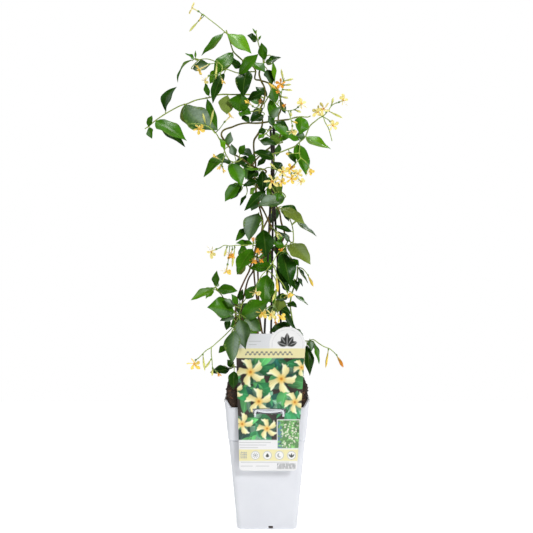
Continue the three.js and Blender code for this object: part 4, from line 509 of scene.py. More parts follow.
def swing(first, second, angle):
    # cos(angle) * first + sin(angle) * second
    return np.cos(angle)[..., None] * first + np.sin(angle)[..., None] * second


def bent(start, knee, end, e):
    # (1 - e)^2 * start + 2 e (1 - e) * knee + e^2 * end, for e from 0 to 1
    return (1 - e) ** 2 * start + 2 * e * (1 - e) * knee + e**2 * end


def sighted(points):
    # reach = 1 + depth / distance; x = across * reach, y = depth, z = eye height + (up - eye height) * reach
    p = np.asarray(points, float)
    reach = 1 + p[..., 2] / eye["distance"]
    up = eye["height"] + (p[..., 1] - eye["height"]) * reach
    return np.stack([p[..., 0] * reach, p[..., 2], up], -1)


def evenSteps(path, step):
    # The same path in even steps along its length.
    length = np.concatenate([[0], np.cumsum(np.linalg.norm(np.diff(path, axis=0), axis=1))])
    at = np.linspace(0, length[-1], max(3, int(round(length[-1] / step)) + 1))
    return np.stack([np.interp(at, length, path[:, axis]) for axis in range(3)], -1)


def smoothPath(points, step, spanSteps=12):
    # A centripetal Catmull-Rom curve: the cubic between two points whose end slopes are weighed by the
    # square roots of the distances, with the ends carried on straight.
    p = np.vstack([2 * points[0] - points[1], points, 2 * points[-1] - points[-2]])
    d = np.maximum(np.linalg.norm(np.diff(p, axis=0), axis=1), 1e-4)[:, None] ** 0.5
    a, b, c, e = p[:-3], p[1:-2], p[2:-1], p[3:]
    da, db, dc = d[:-2], d[1:-1], d[2:]
    slopeB = ((b - a) / da - (c - a) / (da + db) + (c - b) / db) * db
    slopeC = ((c - b) / db - (e - b) / (db + dc) + (e - c) / dc) * db
    t = np.linspace(0, 1, spanSteps, endpoint=False)[None, :, None]
    curve = ((2 * t**3 - 3 * t**2 + 1) * b[:, None] + (t**3 - 2 * t**2 + t) * slopeB[:, None]
             + (3 * t**2 - 2 * t**3) * c[:, None] + (t**3 - t**2) * slopeC[:, None])
    return evenSteps(np.vstack([curve.reshape(-1, 3), points[-1]]), step)


def ringsAlong(paths, radii, sides):
    # paths[k, i] are k paths of i stations. A ring point is station + radius * (cos a * first + sin a *
    # second), where first is carried along square to the path and second = direction x first. There is one
    # radius for each station, or one for each ring point.
    direction = unit(np.gradient(paths, axis=1))
    least = np.eye(3)[np.argmin(np.abs(direction[:, 0]), axis=1)]
    first = np.empty_like(paths)
    carried = np.cross(direction[:, 0], least)
    for i in range(paths.shape[1]):
        d = direction[:, i]
        carried = unit(carried - d * np.sum(carried * d, -1, keepdims=True))
        first[:, i] = carried
    second = np.cross(direction, first)
    radii = radii if radii.ndim == 3 else radii[..., None]
    return paths[:, :, None] + radii[..., None] * swing(first[:, :, None], second[:, :, None], around(sides))


def newPart():
    # Lists of whole arrays, which addSkins fills and putPiece joins.
    part = {key: [] for key in ("points", "quads", "quadFinish", "tris", "triFinish", "uv", "tone")}
    part["count"] = 0
    return part


def addSkins(part, rings, first, last, tone, finish, u=None, v=None):
    # Closed skins: rings[k, i, j] is point j of ring i of skin k, and each end closes on one point. Quads
    # join ring to ring, and fans of triangles close the ends. The tone is one for all, one for each skin or
    # one for each point, and the finish is one for all or one for each column of quads.
    k, n, m, _ = rings.shape
    base = part["count"] + np.arange(k)[:, None, None] * (n * m + 2)
    at = base + np.arange(n)[None, :, None] * m + np.arange(m)
    beside = np.roll(at, -1, axis=2)
    quads = np.stack([at[:, :-1], beside[:, :-1], beside[:, 1:], at[:, 1:]], -1)
    firstAt = np.broadcast_to(base[:, 0] + n * m, (k, m))
    tris = np.concatenate([np.stack([firstAt, beside[:, 0], at[:, 0]], -1),
                           np.stack([firstAt + 1, at[:, -1], beside[:, -1]], -1)])
    points = np.concatenate([rings.reshape(k, -1, 3), first[:, None], last[:, None]], 1)
    tone = np.asarray(tone, float)
    if tone.ndim == 4:
        tone = np.concatenate([tone.reshape(k, -1, 3), tone[:, :1, 0], tone[:, -1:, 0]], 1)
    else:
        tone = np.broadcast_to(tone.reshape(-1, 1, 3), (k, n * m + 2, 3))
    u = np.linspace(0, 1, m) if u is None else u
    v = np.linspace(0, 1, n) if v is None else v
    grid = np.stack(np.broadcast_arrays(u, v[:, None]), -1).reshape(-1, 2)
    part["points"].append(points.reshape(-1, 3))
    part["quads"].append(quads.reshape(-1, 4))
    part["quadFinish"].append(np.broadcast_to(finish, quads.shape[:3]).ravel())
    part["tris"].append(tris.reshape(-1, 3))
    part["triFinish"].append(np.broadcast_to(finish, (2 * k, m)).ravel())
    part["uv"].append(np.tile(np.vstack([grid, [[0.5, 0.0], [0.5, 1.0]]]), (k, 1)))
    part["tone"].append(tone.reshape(-1, 3))
    part["count"] += k * (n * m + 2)


def addSkin(part, rings, first, last, tone, finish):
    # One closed skin, whose tone is one colour, one for each ring or one for each point.
    if np.ndim(tone) > 1:
        tone = np.broadcast_to(tone if tone.ndim == 3 else tone[:, None], rings.shape)[None]
    addSkins(part, rings[None], np.array([first], float), np.array([last], float), tone, finish)


def addTube(part, path, radii, sides, tone, finish):
    # One skin of rings along a path, with one radius for each station or one for each ring point.
    addSkin(part, ringsAlong(path[None], radii[None], sides)[0], path[0], path[-1], tone, finish)


def putPiece(name, part, finishNames, node, sharp=62):
    # Points, loops and faces go into the mesh as whole arrays; an edge sharper than the angle stays crisp.
    points = np.concatenate(part["points"]) * mm
    quads = np.concatenate(part["quads"])
    tris = np.concatenate([np.zeros((0, 3), int)] + part["tris"])
    loops = np.concatenate([quads.ravel(), tris.ravel()]).astype(np.int32)
    starts = np.concatenate([np.arange(len(quads)) * 4, quads.size + np.arange(len(tris)) * 3])
    finish = np.concatenate(part["quadFinish"] + part["triFinish"])
    uv = np.concatenate(part["uv"])[loops]
    tone = np.concatenate(part["tone"])
    tone = np.hstack([tone, np.ones((len(tone), 1))])
    mesh = bpy.data.meshes.new(name)
    mesh.vertices.add(len(points))
    mesh.vertices.foreach_set("co", points.astype(np.float32).ravel())
    mesh.loops.add(len(loops))
    mesh.loops.foreach_set("vertex_index", loops)
    mesh.polygons.add(len(starts))
    mesh.polygons.foreach_set("loop_start", starts.astype(np.int32))
    mesh.polygons.foreach_set("material_index", finish.astype(np.int32))
    mesh.polygons.foreach_set("use_smooth", np.ones(len(starts), bool))
    mesh.uv_layers.new(name="leafMap").data.foreach_set("uv", uv.astype(np.float32).ravel())
    toneLayer = mesh.color_attributes.new(name="tone", type="FLOAT_COLOR", domain="POINT")
    toneLayer.data.foreach_set("color", tone.astype(np.float32).ravel())
    mesh.update(calc_edges=True)
    mesh.validate()
    mesh.set_sharp_from_angle(angle=math.radians(sharp))
    for finishName in finishNames:
        mesh.materials.append(finishes[finishName])
    piece = putObject(name, mesh)
    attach(piece, "root")
    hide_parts(node)
    return piece


def bladeSection(top):
    # A closed section: out over the top from s = -1 to 1 and back under it. The sign is 1 above, -1 below and
    # 0 at the two edges.
    top = np.array(top, float)
    sign = np.concatenate([np.ones(len(top)), -np.ones(len(top) - 2)])
    sign[[0, len(top) - 1]] = 0
    return np.concatenate([top, top[-2:0:-1]]), sign


leafForm = {
    "stations": 11, "across": [-1, -0.66, -0.28, 0, 0.28, 0.66, 1], "thickness": 0.5, "edgeThinning": 0.6,
    "breadth": 1.04, "belly": 0.87, "fullness": 0.95, "tipTaper": 0.4, "leastFacing": 0.05,
    "bow": 0.09, "curl": 0.05, "fold": 0.2, "wave": 0.17, "waves": 1.7, "waveShift": 0.12,
    "roll": 0.6, "rollFrom": 0.35, "ribWidth": 0.12, "ribDip": 0.18, "ribSwell": 0.45, "ribFade": 0.75,
    # Below, a painted sheen (a pale band standing in for a gloss highlight) lies on every leaf of one tone,
    # and narrower painted highlight streaks lie on a share of the others.
    "toneSpread": 0.2, "paintedSheenKind": 4, "paintedSheen": 0.8, "paintedSheenWidth": 0.6, "paintedSheenPlace": 0.48,
    "paintedStreak": 0.5, "paintedStreakShare": 0.3, "paintedStreakWidth": 0.22,
    "pairSize": 0.9, "pairWidth": 0.75, "pairOffset": 6,
}
petioleForm = {"radius": 0.7, "taper": (1.15, 0.8), "sides": 6, "steps": 7, "knee": 0.45,
               "inside": 3.0, "insideShare": 0.12, "insideRadius": 0.3, "tone": linear(0x8ea53c)}
leafTones = np.array([linear(code) for code in (0x1f4609, 0x40780c, 0x5f9712, 0x788c38, 0x3c6022)])
# The pale grey-green of the painted sheen and streaks, a painted highlight colour rather than the leaves'
# own.
paintedSheenTint = linear(0x9fb3a0)


def leafTable(leaves):
    # One row for each leaf, and one for each partner: the same leaf, a little smaller, on the far side of the
    # stem and turned the other way.
    rows = np.array([leaf + [0] * (11 - len(leaf)) for leaf in leaves], float)
    pairs = rows[rows[:, 9] > 0].copy()
    size = leafForm["pairSize"]
    pairs[:, 2:4] = pairs[:, 0:2] + size * (pairs[:, 2:4] - pairs[:, 0:2])
    pairs[:, 4] *= leafForm["pairWidth"]
    pairs[:, 5] = 180 - pairs[:, 5]
    pairs[:, 6] += leafForm["pairOffset"]
    pairs[:, 7] = np.abs(pairs[:, 7]) + leafForm["pairOffset"]
    pairs[:, 10] *= size
    return np.vstack([rows, pairs])


def leafAxes(base, tip, turn):
    # along runs base to tip; front is frontward made square to it; side = along x front; face = front * cos
    # turn + side * sin turn, on the side that looks to the sky; across = along x face.
    along = unit(tip - base)
    front = unit(frontward - along * (along @ frontward)[:, None])
    side = np.cross(along, front)
    outer = side[:, 0] * np.where(base[:, 0] == 0, 1, base[:, 0])
    upward = np.sign(np.where(np.abs(side[:, 2]) > 0.35, side[:, 2], outer))[:, None]
    turn = np.radians(turn)[:, None]
    face = front * np.cos(turn) + side * upward * np.sin(turn)
    return along, side, face, np.cross(along, face), front * np.sign(np.cos(turn))


def nearestOn(paths, places):
    # The closest of the stems' stations to each place.
    stations = np.vstack([path[1:-1] if len(path) > 4 else path for path in paths])
    apart = np.linalg.norm(places[:, None] - stations[None], axis=-1)
    return stations[np.argmin(apart, axis=1)]


def bladeTones(kind, s, sign, t, draw):
    # Each leaf's tone is lightened or darkened a little. A painted sheen, a pale band that stands in for a
    # gloss highlight, strength * exp(-((s - place) / width)^2) * sin(pi t), lies along one half of the upper
    # face of every leaf of the sheen's tone, and a narrower painted highlight streak lies on a few others.
    form, count = leafForm, len(kind)
    spread = 1 + draw.uniform(-1, 1, (count, 1)) * form["toneSpread"]
    paintedStreak = form["paintedStreak"] * (draw.uniform(0, 1, count) < form["paintedStreakShare"])
    sheenedLeaves = kind == form["paintedSheenKind"]
    strength = np.where(sheenedLeaves, form["paintedSheen"], paintedStreak)[:, None, None]
    width = np.where(sheenedLeaves, form["paintedSheenWidth"], form["paintedStreakWidth"])[:, None, None]
    place = draw.choice([-1, 1], count)[:, None, None] * form["paintedSheenPlace"]
    # pale is how much painted highlight each point of the upper face gets.
    pale = strength * np.exp(-((s - place) / width) ** 2) * np.sin(np.pi * t[..., None]) * (sign >= 0)
    return mixed((leafTones[kind] * spread)[:, None, None], paintedSheenTint, pale[..., None])


def addPetioles(part, base, along, length, paths):
    # A bent stalk runs from the nearest place on a stem, by a knee behind the leaf, to the leaf's base and a
    # little way into its midrib.
    form = petioleForm
    root = nearestOn(paths, base)
    knee = base - along * np.linalg.norm(base - root, axis=1)[:, None] * form["knee"]
    e = np.linspace(0, 1, form["steps"])[None, :, None]
    stalks = bent(root[:, None], knee[:, None], base[:, None], e)
    inside = base + along * np.minimum(form["inside"], form["insideShare"] * length)
    stalks = np.concatenate([stalks, inside[:, None]], 1)
    radii = np.linspace(*form["taper"], form["steps"] + 1) * form["radius"]
    radii[-1] = form["insideRadius"]
    addSkins(part, ringsAlong(stalks, radii[None], form["sides"]), root, inside, form["tone"], 2)


def addLeaves(part, rows, paths, seed):
    # The midrib is base + along * t * length, arched by 4t(1 - t) to the front and to the side, and its tip
    # curls back with t^3. Half width = width / 2 * sin(pi t^0.87)^0.95, drawn in at the tip. Across it, s
    # from -1 to 1, the blade folds up with |s|, its edges wave with s^2, and it rolls a little lengthwise.
    draw = np.random.default_rng(seed)
    form, count, topCount = leafForm, len(rows), len(leafForm["across"])
    base, tip = sighted(rows[:, [0, 1, 6]]), sighted(rows[:, [2, 3, 7]])
    along, side, face, across, bow = leafAxes(base, tip, rows[:, 5])
    length = np.linalg.norm(tip - base, axis=1)[:, None]
    facing = np.maximum(np.abs(np.cos(np.radians(rows[:, 5]))), form["leastFacing"])
    width = (rows[:, 4] / facing)[:, None]
    t = np.linspace(0, 1, form["stations"] + 2)[None, 1:-1]
    arch = 4 * t * (1 - t)
    half = form["breadth"] * np.sin(np.pi * t**form["belly"]) ** form["fullness"]
    half = (half * (1 - form["tipTaper"] * t**6) * width / 2)[..., None]
    s, sign = bladeSection(form["across"])
    phase = draw.uniform(0, 2 * np.pi, (count, 1, 1))
    curl = draw.uniform(0, 1, (count, 1)) * form["curl"]
    roll = draw.uniform(-1, 1, (count, 1)) * form["roll"] * (t - form["rollFrom"])
    middle = (base[:, None] + along[:, None] * (t * length)[..., None]
              + side[:, None] * (rows[:, 10:11] * arch)[..., None]
              + bow[:, None] * (length * (form["bow"] * arch - curl * t**3))[..., None])
    wave = np.sin(2 * np.pi * (form["waves"] * t[..., None] + form["waveShift"] * np.sign(s)) + phase) * s**2
    lift = form["wave"] * wave + form["fold"] * (1.3 * np.abs(s) - 0.3 * s**2)
    body = sign * form["thickness"] / 2 * (1 - form["edgeThinning"] * s**2)
    rib = np.exp(-(s / form["ribWidth"]) ** 2) * np.where(sign > 0, -form["ribDip"], -form["ribSwell"])
    wide = half * s
    high = half * lift + body + rib * (1 - form["ribFade"] * t[..., None])
    sideways = swing(across[:, None], face[:, None], roll)[:, :, None]
    upward = swing(face[:, None], -across[:, None], roll)[:, :, None]
    rings = middle[:, :, None] + wide[..., None] * sideways + high[..., None] * upward
    tones = bladeTones(rows[:, 8].astype(int), s, sign, t, draw)
    finish = [0] * (topCount - 1) + [1] * (topCount - 1)
    addSkins(part, rings, base, tip, tones, finish, (s + 1) / 2, t[0])
    addPetioles(part, base, along, length, paths)


flowerForm = {
    "petals": 5, "across": [-1, -0.5, 0, 0.5, 1], "along": [0.03, 0.18, 0.36, 0.56, 0.74, 0.88, 0.96],
    "thickness": 0.35, "slim": 0.25, "broadest": 16.5, "narrowing": 1.1, "foot": 0.28, "closeFrom": 0.6,
    "closeOver": 0.405, "closing": 2.4, "cut": (0.955, 0.045, -0.035), "swingFrom": -18, "swingBy": 22,
    "mouth": 0.055, "mouthLeast": 0.2, "rise": 0.16, "droop": 0.1, "twist": 0.6, "sway": 0.07, "ruffle": 0.03,
    "wiltRise": 0.85, "wiltSway": 0.3, "wiltShrink": 0.35, "wiltPlace": 0.62, "wiltedUpTo": 10,
    "toneSpread": 0.06,
}
tubeForm = {"sides": 8, "heights": [0.0, 0.3, 0.55, 0.78, 0.93, 1.0, 0.99, 0.93],
            "radii": [0.7, 0.75, 0.85, 1.1, 0.95], "lip": 0.3, "throat": (0.7, 0.35),
            "foot": linear(0xd9d79a), "inside": linear(0xd98a20)}
calyxForm = {"heights": [0.0, 0.25, 0.6, 1.0], "swell": [0.75, 1.35, 1.3, 1.05], "length": 3.2, "sunk": 0.6,
             "lobe": 0.18, "sides": 10, "tone": linear(0x6f8f3c)}
budForm = {"sides": 10, "along": [0.03, 0.16, 0.32, 0.48, 0.62, 0.74, 0.85, 0.93, 0.98], "neck": 0.45,
           "belly": 1.67, "fullness": 0.9, "lobe": 0.1, "twist": 1.9, "slim": 0.7, "colourOver": 1.7,
           "foot": linear(0xa9b45f)}
stalkForm = {"radius": 0.55, "steps": 6, "sides": 6, "hang": 0.12, "taper": (1.1, 1.0)}
flowerTones = [linear(code) for code in (0xfff092, 0xfbd858, 0xf6a81c, 0xa8682a)]
budTones = [linear(code) for code in (0xdfe07c, 0xf0cc4a, 0xde8a1a, 0x85501f)]


def planeAxes(out):
    # aside is skyward made square to out, or +Y where out is upright; other = out x aside.
    hint = skyward if abs(out[2]) < 0.95 else -frontward
    aside = unit(hint - out * hint.dot(out))
    return aside, np.cross(out, aside)


def addStalk(part, root, foot):
    # A stalk from its place on the stem to the flower's foot, bent down at a knee halfway.
    form = stalkForm
    knee = (root + foot) / 2 - skyward * form["hang"] * np.linalg.norm(foot - root)
    path = bent(root, knee, foot, np.linspace(0, 1, form["steps"])[:, None])
    radii = np.linspace(*form["taper"], form["steps"]) * form["radius"]
    addTube(part, path, radii, form["sides"], calyxForm["tone"], 2)


def addCalyx(part, foot, out, size):
    # Five sepals held to the tube: radius = swell(t) * (1 + 0.18 t cos 5a).
    form = calyxForm
    t = np.array(form["heights"])[:, None]
    lobes = 1 + form["lobe"] * t * np.cos(5 * around(form["sides"]))
    path = foot + out * (t * form["length"] - form["sunk"]) * size
    addTube(part, path, np.array(form["swell"])[:, None] * size * lobes, form["sides"], form["tone"], 2)


def addPetals(part, face, out, span, spin, mouth, tone, draw, wilt):
    # Along v, a petal's centre line swings from -18 to +4 degrees, and its half width grows as sin(pi v /
    # 1.6) and closes as sqrt(1 - ((v - 0.6) / 0.405)^2.4). Across it, s from -1 to 1, the far edge is cut
    # aslant and the blade is tilted like a vane. A wilted flower's petals stand up and hang unevenly.
    form, count, radius = flowerForm, flowerForm["petals"], span / 2
    aside, other = planeAxes(out)
    s, sign = bladeSection(form["across"])
    v = np.array(form["along"])[:, None]
    turn = spin + 360 / count * np.arange(count)[:, None] + form["swingFrom"] + form["swingBy"] * v.T
    heading = swing(aside, other, np.radians(turn))
    across = np.cross(heading, out)
    grow = form["foot"] + (1 - form["foot"]) * np.sin(np.minimum(v / 0.8, 1) * np.pi / 2)
    close = np.clip((v - form["closeFrom"]) / form["closeOver"], 0, 1) ** form["closing"]
    slim = form["slim"] * min(1, (form["broadest"] / span) ** form["narrowing"])
    half = radius * slim * grow * np.sqrt(np.maximum(1 - close, 0.02))
    end, slant, notch = form["cut"]
    near = mouth * 0.8
    run = near + (radius * (end + slant * s + notch * s**2) - near) * v
    wobble = draw.uniform(-1, 1, (count, 1, 1))
    rise, sway = form["rise"] + wilt * form["wiltRise"], form["sway"] + wilt * form["wiltSway"]
    ruffle = form["ruffle"] * v * np.sin(4 * v * np.pi + 3 * wobble) * s**2
    lift = (rise * run + form["twist"] * half * s + sign * form["thickness"] / 2
            + radius * (sway * wobble * v**2 - form["droop"] * v**3 + ruffle))
    run = run * (1 - form["wiltShrink"] * wilt * v)
    rings = (face + heading[:, :, None] * run[..., None] + across[:, :, None] * (half * s)[..., None]
             + out * lift[..., None])
    first = face + heading[:, 0] * mouth * 0.5
    last = rings[:, -1].mean(axis=1) + heading[:, -1] * radius * 0.02
    tone = flowerTones[tone] * (1 + draw.uniform(-1, 1) * form["toneSpread"])
    addSkins(part, rings, first, last, tone, 0, (s + 1) / 2, v[:, 0])


def addFlower(part, root, foot, face, span, spin, tone, draw, wilt=0):
    # Petals round a trumpet tube, whose radius is listed by its height and folds in at the mouth.
    form, out = tubeForm, unit(face - foot)
    mouth = flowerForm["mouth"] * span + flowerForm["mouthLeast"]
    addPetals(part, face, out, span, spin, mouth, tone, draw, wilt)
    path = foot + (face - foot) * np.array(form["heights"])[:, None]
    radii = np.array([*form["radii"], mouth + form["lip"], *(mouth * share for share in form["throat"])])
    rings = path[:, None] + radii[:, None, None] * swing(*planeAxes(out), around(form["sides"]))
    tube = mixed(form["foot"], flowerTones[min(tone, 2)], np.linspace(0, 1, len(path))[:, None])
    tube[-2:] = form["inside"]
    addSkin(part, rings, foot, path[-1], tube, 2)
    addCalyx(part, foot, out, 1.0)
    addStalk(part, root, foot)


def addBud(part, root, foot, tip, width, tone):
    # radius(t) = 0.45 (1 - t)^0.6 + width / 2 * sin(pi t^1.67)^0.9, lobed by cos 5a and twisted as it runs
    # out, as furled petals are.
    form, out = budForm, unit(tip - foot)
    t = np.array(form["along"])[:, None]
    angle = around(form["sides"])
    belly = np.sin(np.pi * t**form["belly"]) ** form["fullness"]
    radius = form["neck"] * (1 - t) ** 0.6 + (width * form["slim"] / 2 - 0.1) * belly
    radius = radius * (1 + form["lobe"] * np.cos(5 * angle))
    turned = swing(*planeAxes(out), angle + form["twist"] * t)
    rings = (foot + (tip - foot) * t)[:, None] + radius[..., None] * turned
    colour = mixed(form["foot"], tone, np.clip(t * form["colourOver"], 0, 1))
    addSkin(part, rings, foot, tip, colour, 2)
    addCalyx(part, foot, out, 0.8)
    addStalk(part, root, foot)


caneForm = {"sides": 14, "step": 9, "rough": 0.015, "slim": 0.98, "toneSpread": 0.3, "seed": 400,
            "tone": linear(0x241b16)}
tieForm = {"height": 548, "gap": 1.15, "turns": 2.1, "steps": 90, "wire": 0.62, "band": 0.55, "sides": 8,
           "tone": linear(0x1b1b1d)}
vineForm = {
    "step": 2.6, "sides": 10, "slim": 0.97, "rough": 0.1, "roughOver": 9, "knot": 0.12, "knotEvery": 0.11,
    "ridge": 0.05, "greenFrom": 330, "greenSpan": 230, "greenMost": 0.75, "seed": 100,
    "brown": linear(0x5a3a20), "grey": linear(0x8a6a45), "green": linear(0x7c7c2c),
}
shootForm = {"step": 4, "sides": 8, "sunk": 1.3, "taper": (1.05, 0.8), "node": 0.14, "nodeEvery": 0.55,
             "seed": 200, "tone": linear(0x93a648)}
sprayForm = {"step": 3, "sides": 6, "sunk": 1.3, "taper": (1.05, 0.85), "radius": 0.7, "seed": 300,
             "tone": linear(0x9bb348)}


def makeCane(name, cane, index):
    # A straight rod whose radius and tone wander a little from step to step.
    draw = np.random.default_rng(caneForm["seed"] + index)
    path = evenSteps(sighted(cane["route"]), caneForm["step"])
    radii = cane["thick"] / 2 * (caneForm["slim"] + caneForm["rough"] * draw.normal(0, 1, len(path)))
    tone = caneForm["tone"] * (1 + caneForm["toneSpread"] * draw.uniform(-1, 1, (len(path), 1)))
    part = newPart()
    addTube(part, path, radii, caneForm["sides"], tone, 0)
    putPiece(name + "_rod", part, ["caneSkin"], name)


def makeTie():
    # A wire wound twice round the canes: a helix about the centre of the circle through the three canes,
    # which is the mean of their places weighed by side^2 * (the other two sides' squares - side^2).
    level = tieForm["height"]
    ends = np.array([sighted(cane["route"]) for cane in canes.values()])
    low, high = ends[:, 0], ends[:, 1]
    at = (low + (high - low) * ((level - low[:, 2:]) / (high[:, 2:] - low[:, 2:])))[:, :2]
    sides = np.linalg.norm(np.roll(at, -1, axis=0) - np.roll(at, 1, axis=0), axis=1)
    weights = sides**2 * (np.sum(sides**2) - 2 * sides**2)
    centre = weights @ at / weights.sum()
    radius = np.linalg.norm(at[0] - centre) + canes["cane_left"]["thick"] / 2 + tieForm["gap"]
    angle = -np.pi / 2 + np.linspace(0, 2 * np.pi * tieForm["turns"], tieForm["steps"])
    slide = np.linspace(-1, 1, tieForm["steps"]) * tieForm["band"]
    ring = centre + radius * np.column_stack([np.cos(angle), np.sin(angle)])
    path = np.column_stack([ring, level + slide])
    part = newPart()
    addTube(part, path, np.full(len(path), tieForm["wire"]), tieForm["sides"], tieForm["tone"], 0)
    putPiece("tie_wire", part, ["wire"], "tie")


def makeVine(name, vine, index):
    # A woody stem: its radius wanders by a running mean of noise, swells at knots where sin(0.11 i)^12 peaks
    # and is ridged by sin(2.5 j + 0.35 i); its brown gives way to green as it climbs.
    form = vineForm
    draw = np.random.default_rng(form["seed"] + index)
    path = smoothPath(sighted(vine["route"]), form["step"])
    count, over = len(path), form["roughOver"]
    i, j = np.arange(count)[:, None], np.arange(form["sides"])
    wander = np.convolve(draw.normal(0, 1, count + over - 1), np.ones(over) / over, "valid")[:, None]
    knots = np.maximum(0, np.sin(i * form["knotEvery"] + index)) ** 12
    radii = vine["thick"] / 2 * (form["slim"] + form["rough"] * wander + form["knot"] * knots
                                 + form["ridge"] * np.sin(j * 2.5 + i * 0.35))
    brown = mixed(form["brown"], form["grey"], np.clip(0.5 + 1.2 * wander, 0, 1))
    climb = np.clip((path[:, 2:] - form["greenFrom"]) / form["greenSpan"], 0, 1)
    part = newPart()
    addTube(part, path, radii, form["sides"], mixed(brown, form["green"], form["greenMost"] * climb), 0)
    putPiece(name + "_bark", part, ["bark"], name)


def stemPath(route, form):
    # The smooth path of a route, whose first point is sunk into the stem that it grows from.
    points = sighted(route)
    points[0] -= form["sunk"] * unit(points[1] - points[0])
    return smoothPath(points, form["step"])


def makeShoot(name, shoot, index):
    # Green stems that taper and swell at each node, sin(0.55 i)^6, with their leaves.
    form, part, paths = shootForm, newPart(), []
    for route in shoot["routes"]:
        path = stemPath(route, form)
        paths.append(path)
        nodes = np.maximum(0, np.sin(np.arange(len(path)) * form["nodeEvery"])) ** 6
        radii = shoot["thick"] / 2 * np.linspace(*form["taper"], len(path)) * (1 + form["node"] * nodes)
        addTube(part, path, radii, form["sides"], form["tone"], 2)
    addLeaves(part, leafTable(shoot["leaves"]), paths, form["seed"] + index)
    putPiece(name + "_leafy", part, ["leafTop", "leafUnder", "greenStem"], name)


def makeSpray(name, spray, index):
    # Thin stalks with their flowers and buds. A flower of small span is a wilted one: its face is drawn back
    # towards its foot and its petals are turned by chance.
    form, part, paths = sprayForm, newPart(), []
    draw = np.random.default_rng(form["seed"] + index)
    for route in spray["stalks"]:
        path = stemPath(route, form)
        paths.append(path)
        radii = np.linspace(*form["taper"], len(path)) * form["radius"]
        addTube(part, path, radii, form["sides"], form["tone"], 2)
    for row in spray["flowers"]:
        face, foot = sighted(row[:3]), sighted(row[3:6])
        span, spin, tone = row[6:]
        root = nearestOn(paths, foot[None])[0]
        wilt = int(span <= flowerForm["wiltedUpTo"])
        if wilt:
            face = foot + (face - foot) * flowerForm["wiltPlace"]
            spin = draw.uniform(0, 72)
        addFlower(part, root, foot, face, span, spin, tone, draw, wilt)
    for row in spray["buds"]:
        foot, tip = sighted(row[:3]), sighted(row[3:6])
        addBud(part, nearestOn(paths, foot[None])[0], foot, tip, row[6], budTones[row[7]])
    putPiece(name + "_blossom", part, ["petal", "leafUnder", "greenStem"], name)


for index, (name, cane) in enumerate(canes.items()):
    makeCane(name, cane, index)
makeTie()
for index, (name, vine) in enumerate(vines.items()):
    makeVine(name, vine, index)
print("canes, tie and vines made")
for index, (name, shoot) in enumerate(shoots.items()):
    makeShoot(name, shoot, index)
print("leafy shoots made:", len(shoots))
for index, (name, spray) in enumerate(sprays.items()):
    makeSpray(name, spray, index)
print("flower sprays made:", len(sprays))

# The outside and inside are lists of (height, distance out from the plain taper), and the rim is a list of
# (drop below the rim's own height, distance out).
potForm = {
    "height": 178, "baseHalf": 40.5, "rimHalf": 56.5, "wall": 1.6, "corner": 7, "innerCorner": 6,
    "cornerSteps": 8, "sideSteps": 24, "sharp": 40,
    "outside": [(0, -4.0), (0, -3.2), (0.4, -1.6), (1.2, -0.6), (3, 0), (20, 0), (45, 0), (70, 0), (95, 0),
                (115, 0), (121.8, 0), (122.4, -0.5), (123.9, -0.5), (124, 0.65), (124.4, 0.8), (140, 0.8),
                (156, 0.8)],
    "rim": [(6, 0.8), (0.6, 0.8), (0.15, 0.55), (0, 0.1), (0, -1.2), (0.3, -1.6), (6, -1.6)],
    "inside": [(150, -1.6), (120, -1.6), (60, -1.6), (10, -1.6), (1.6, -1.6)],
    "drop": 10, "dipHalf": 50, "dipSlope": 5.5, "faceShare": 0.86, "tone": linear(0xe6e8ee),
    "notchHalf": 3, "notchTop": 5.5, "notchShift": 5, "notchFrom": 36.9, "notchTo": 60.5,
}


def potHalf(z):
    # Half width of the plain taper: base half + (rim half - base half) * z / height.
    return potForm["baseHalf"] + (potForm["rimHalf"] - potForm["baseHalf"]) * z / potForm["height"]


def levelRing(half, corner, z, form):
    # A square with round corners at height z, anticlockwise: a quarter circle about a corner's centre and a
    # straight side, turned four times by a right angle.
    angle = np.linspace(0, np.pi / 2, form["cornerSteps"] + 1)
    arc = half - corner + corner * np.column_stack([np.cos(angle), np.sin(angle)])
    share = (np.arange(1, form["sideSteps"]) / form["sideSteps"])[:, None]
    x, y = np.vstack([arc, mixed(arc[-1], np.array([-arc[0, 1], arc[0, 0]]), share)]).T
    ring = np.vstack([np.column_stack(quarter) for quarter in ((x, y), (-y, x), (-x, -y), (y, -x))])
    return np.column_stack([ring, np.full(len(ring), float(z))])


def rimHeight(xy):
    # The front and back walls are lower between the corners, with a short slope at each end of the dip.
    across, through = np.abs(xy).T
    fall = np.clip((potForm["dipHalf"] + potForm["dipSlope"] - across) / potForm["dipSlope"], 0, 1)
    return potForm["height"] - potForm["drop"] * fall * (through > across * potForm["faceShare"])


def cutNotches(pot):
    # A box through the foot of each side is cut out of the pot.
    form, part = potForm, newPart()
    half, near, far, x = form["notchHalf"], form["notchFrom"], form["notchTo"], form["notchShift"]
    for x0, x1, y0, y1 in ((x - half, x + half, -far, -near), (x - half, x + half, near, far),
                           (-far, -near, -half, half), (near, far, -half, half)):
        corners = ((x1, y0), (x1, y1), (x0, y1), (x0, y0))
        box = np.array([[(*corner, z) for corner in corners] for z in (-1.0, form["notchTop"])])
        addSkin(part, box, box[0].mean(axis=0), box[1].mean(axis=0), form["tone"], 0)
    mesh = bpy.data.meshes.new("notches")
    faces = np.concatenate(part["quads"]).tolist() + np.concatenate(part["tris"]).tolist()
    mesh.from_pydata((np.concatenate(part["points"]) * mm).tolist(), [], faces)
    cutter = putObject("notches", mesh)
    cut = pot.modifiers.new("notches", "BOOLEAN")
    cut.operation, cut.solver, cut.object = "DIFFERENCE", "EXACT", cutter
    with bpy.context.temp_override(object=pot, active_object=pot, selected_objects=[pot]):
        bpy.ops.object.modifier_apply(modifier=cut.name)
    bpy.data.objects.remove(cutter)
    pot.data.set_sharp_from_angle(angle=math.radians(form["sharp"]))


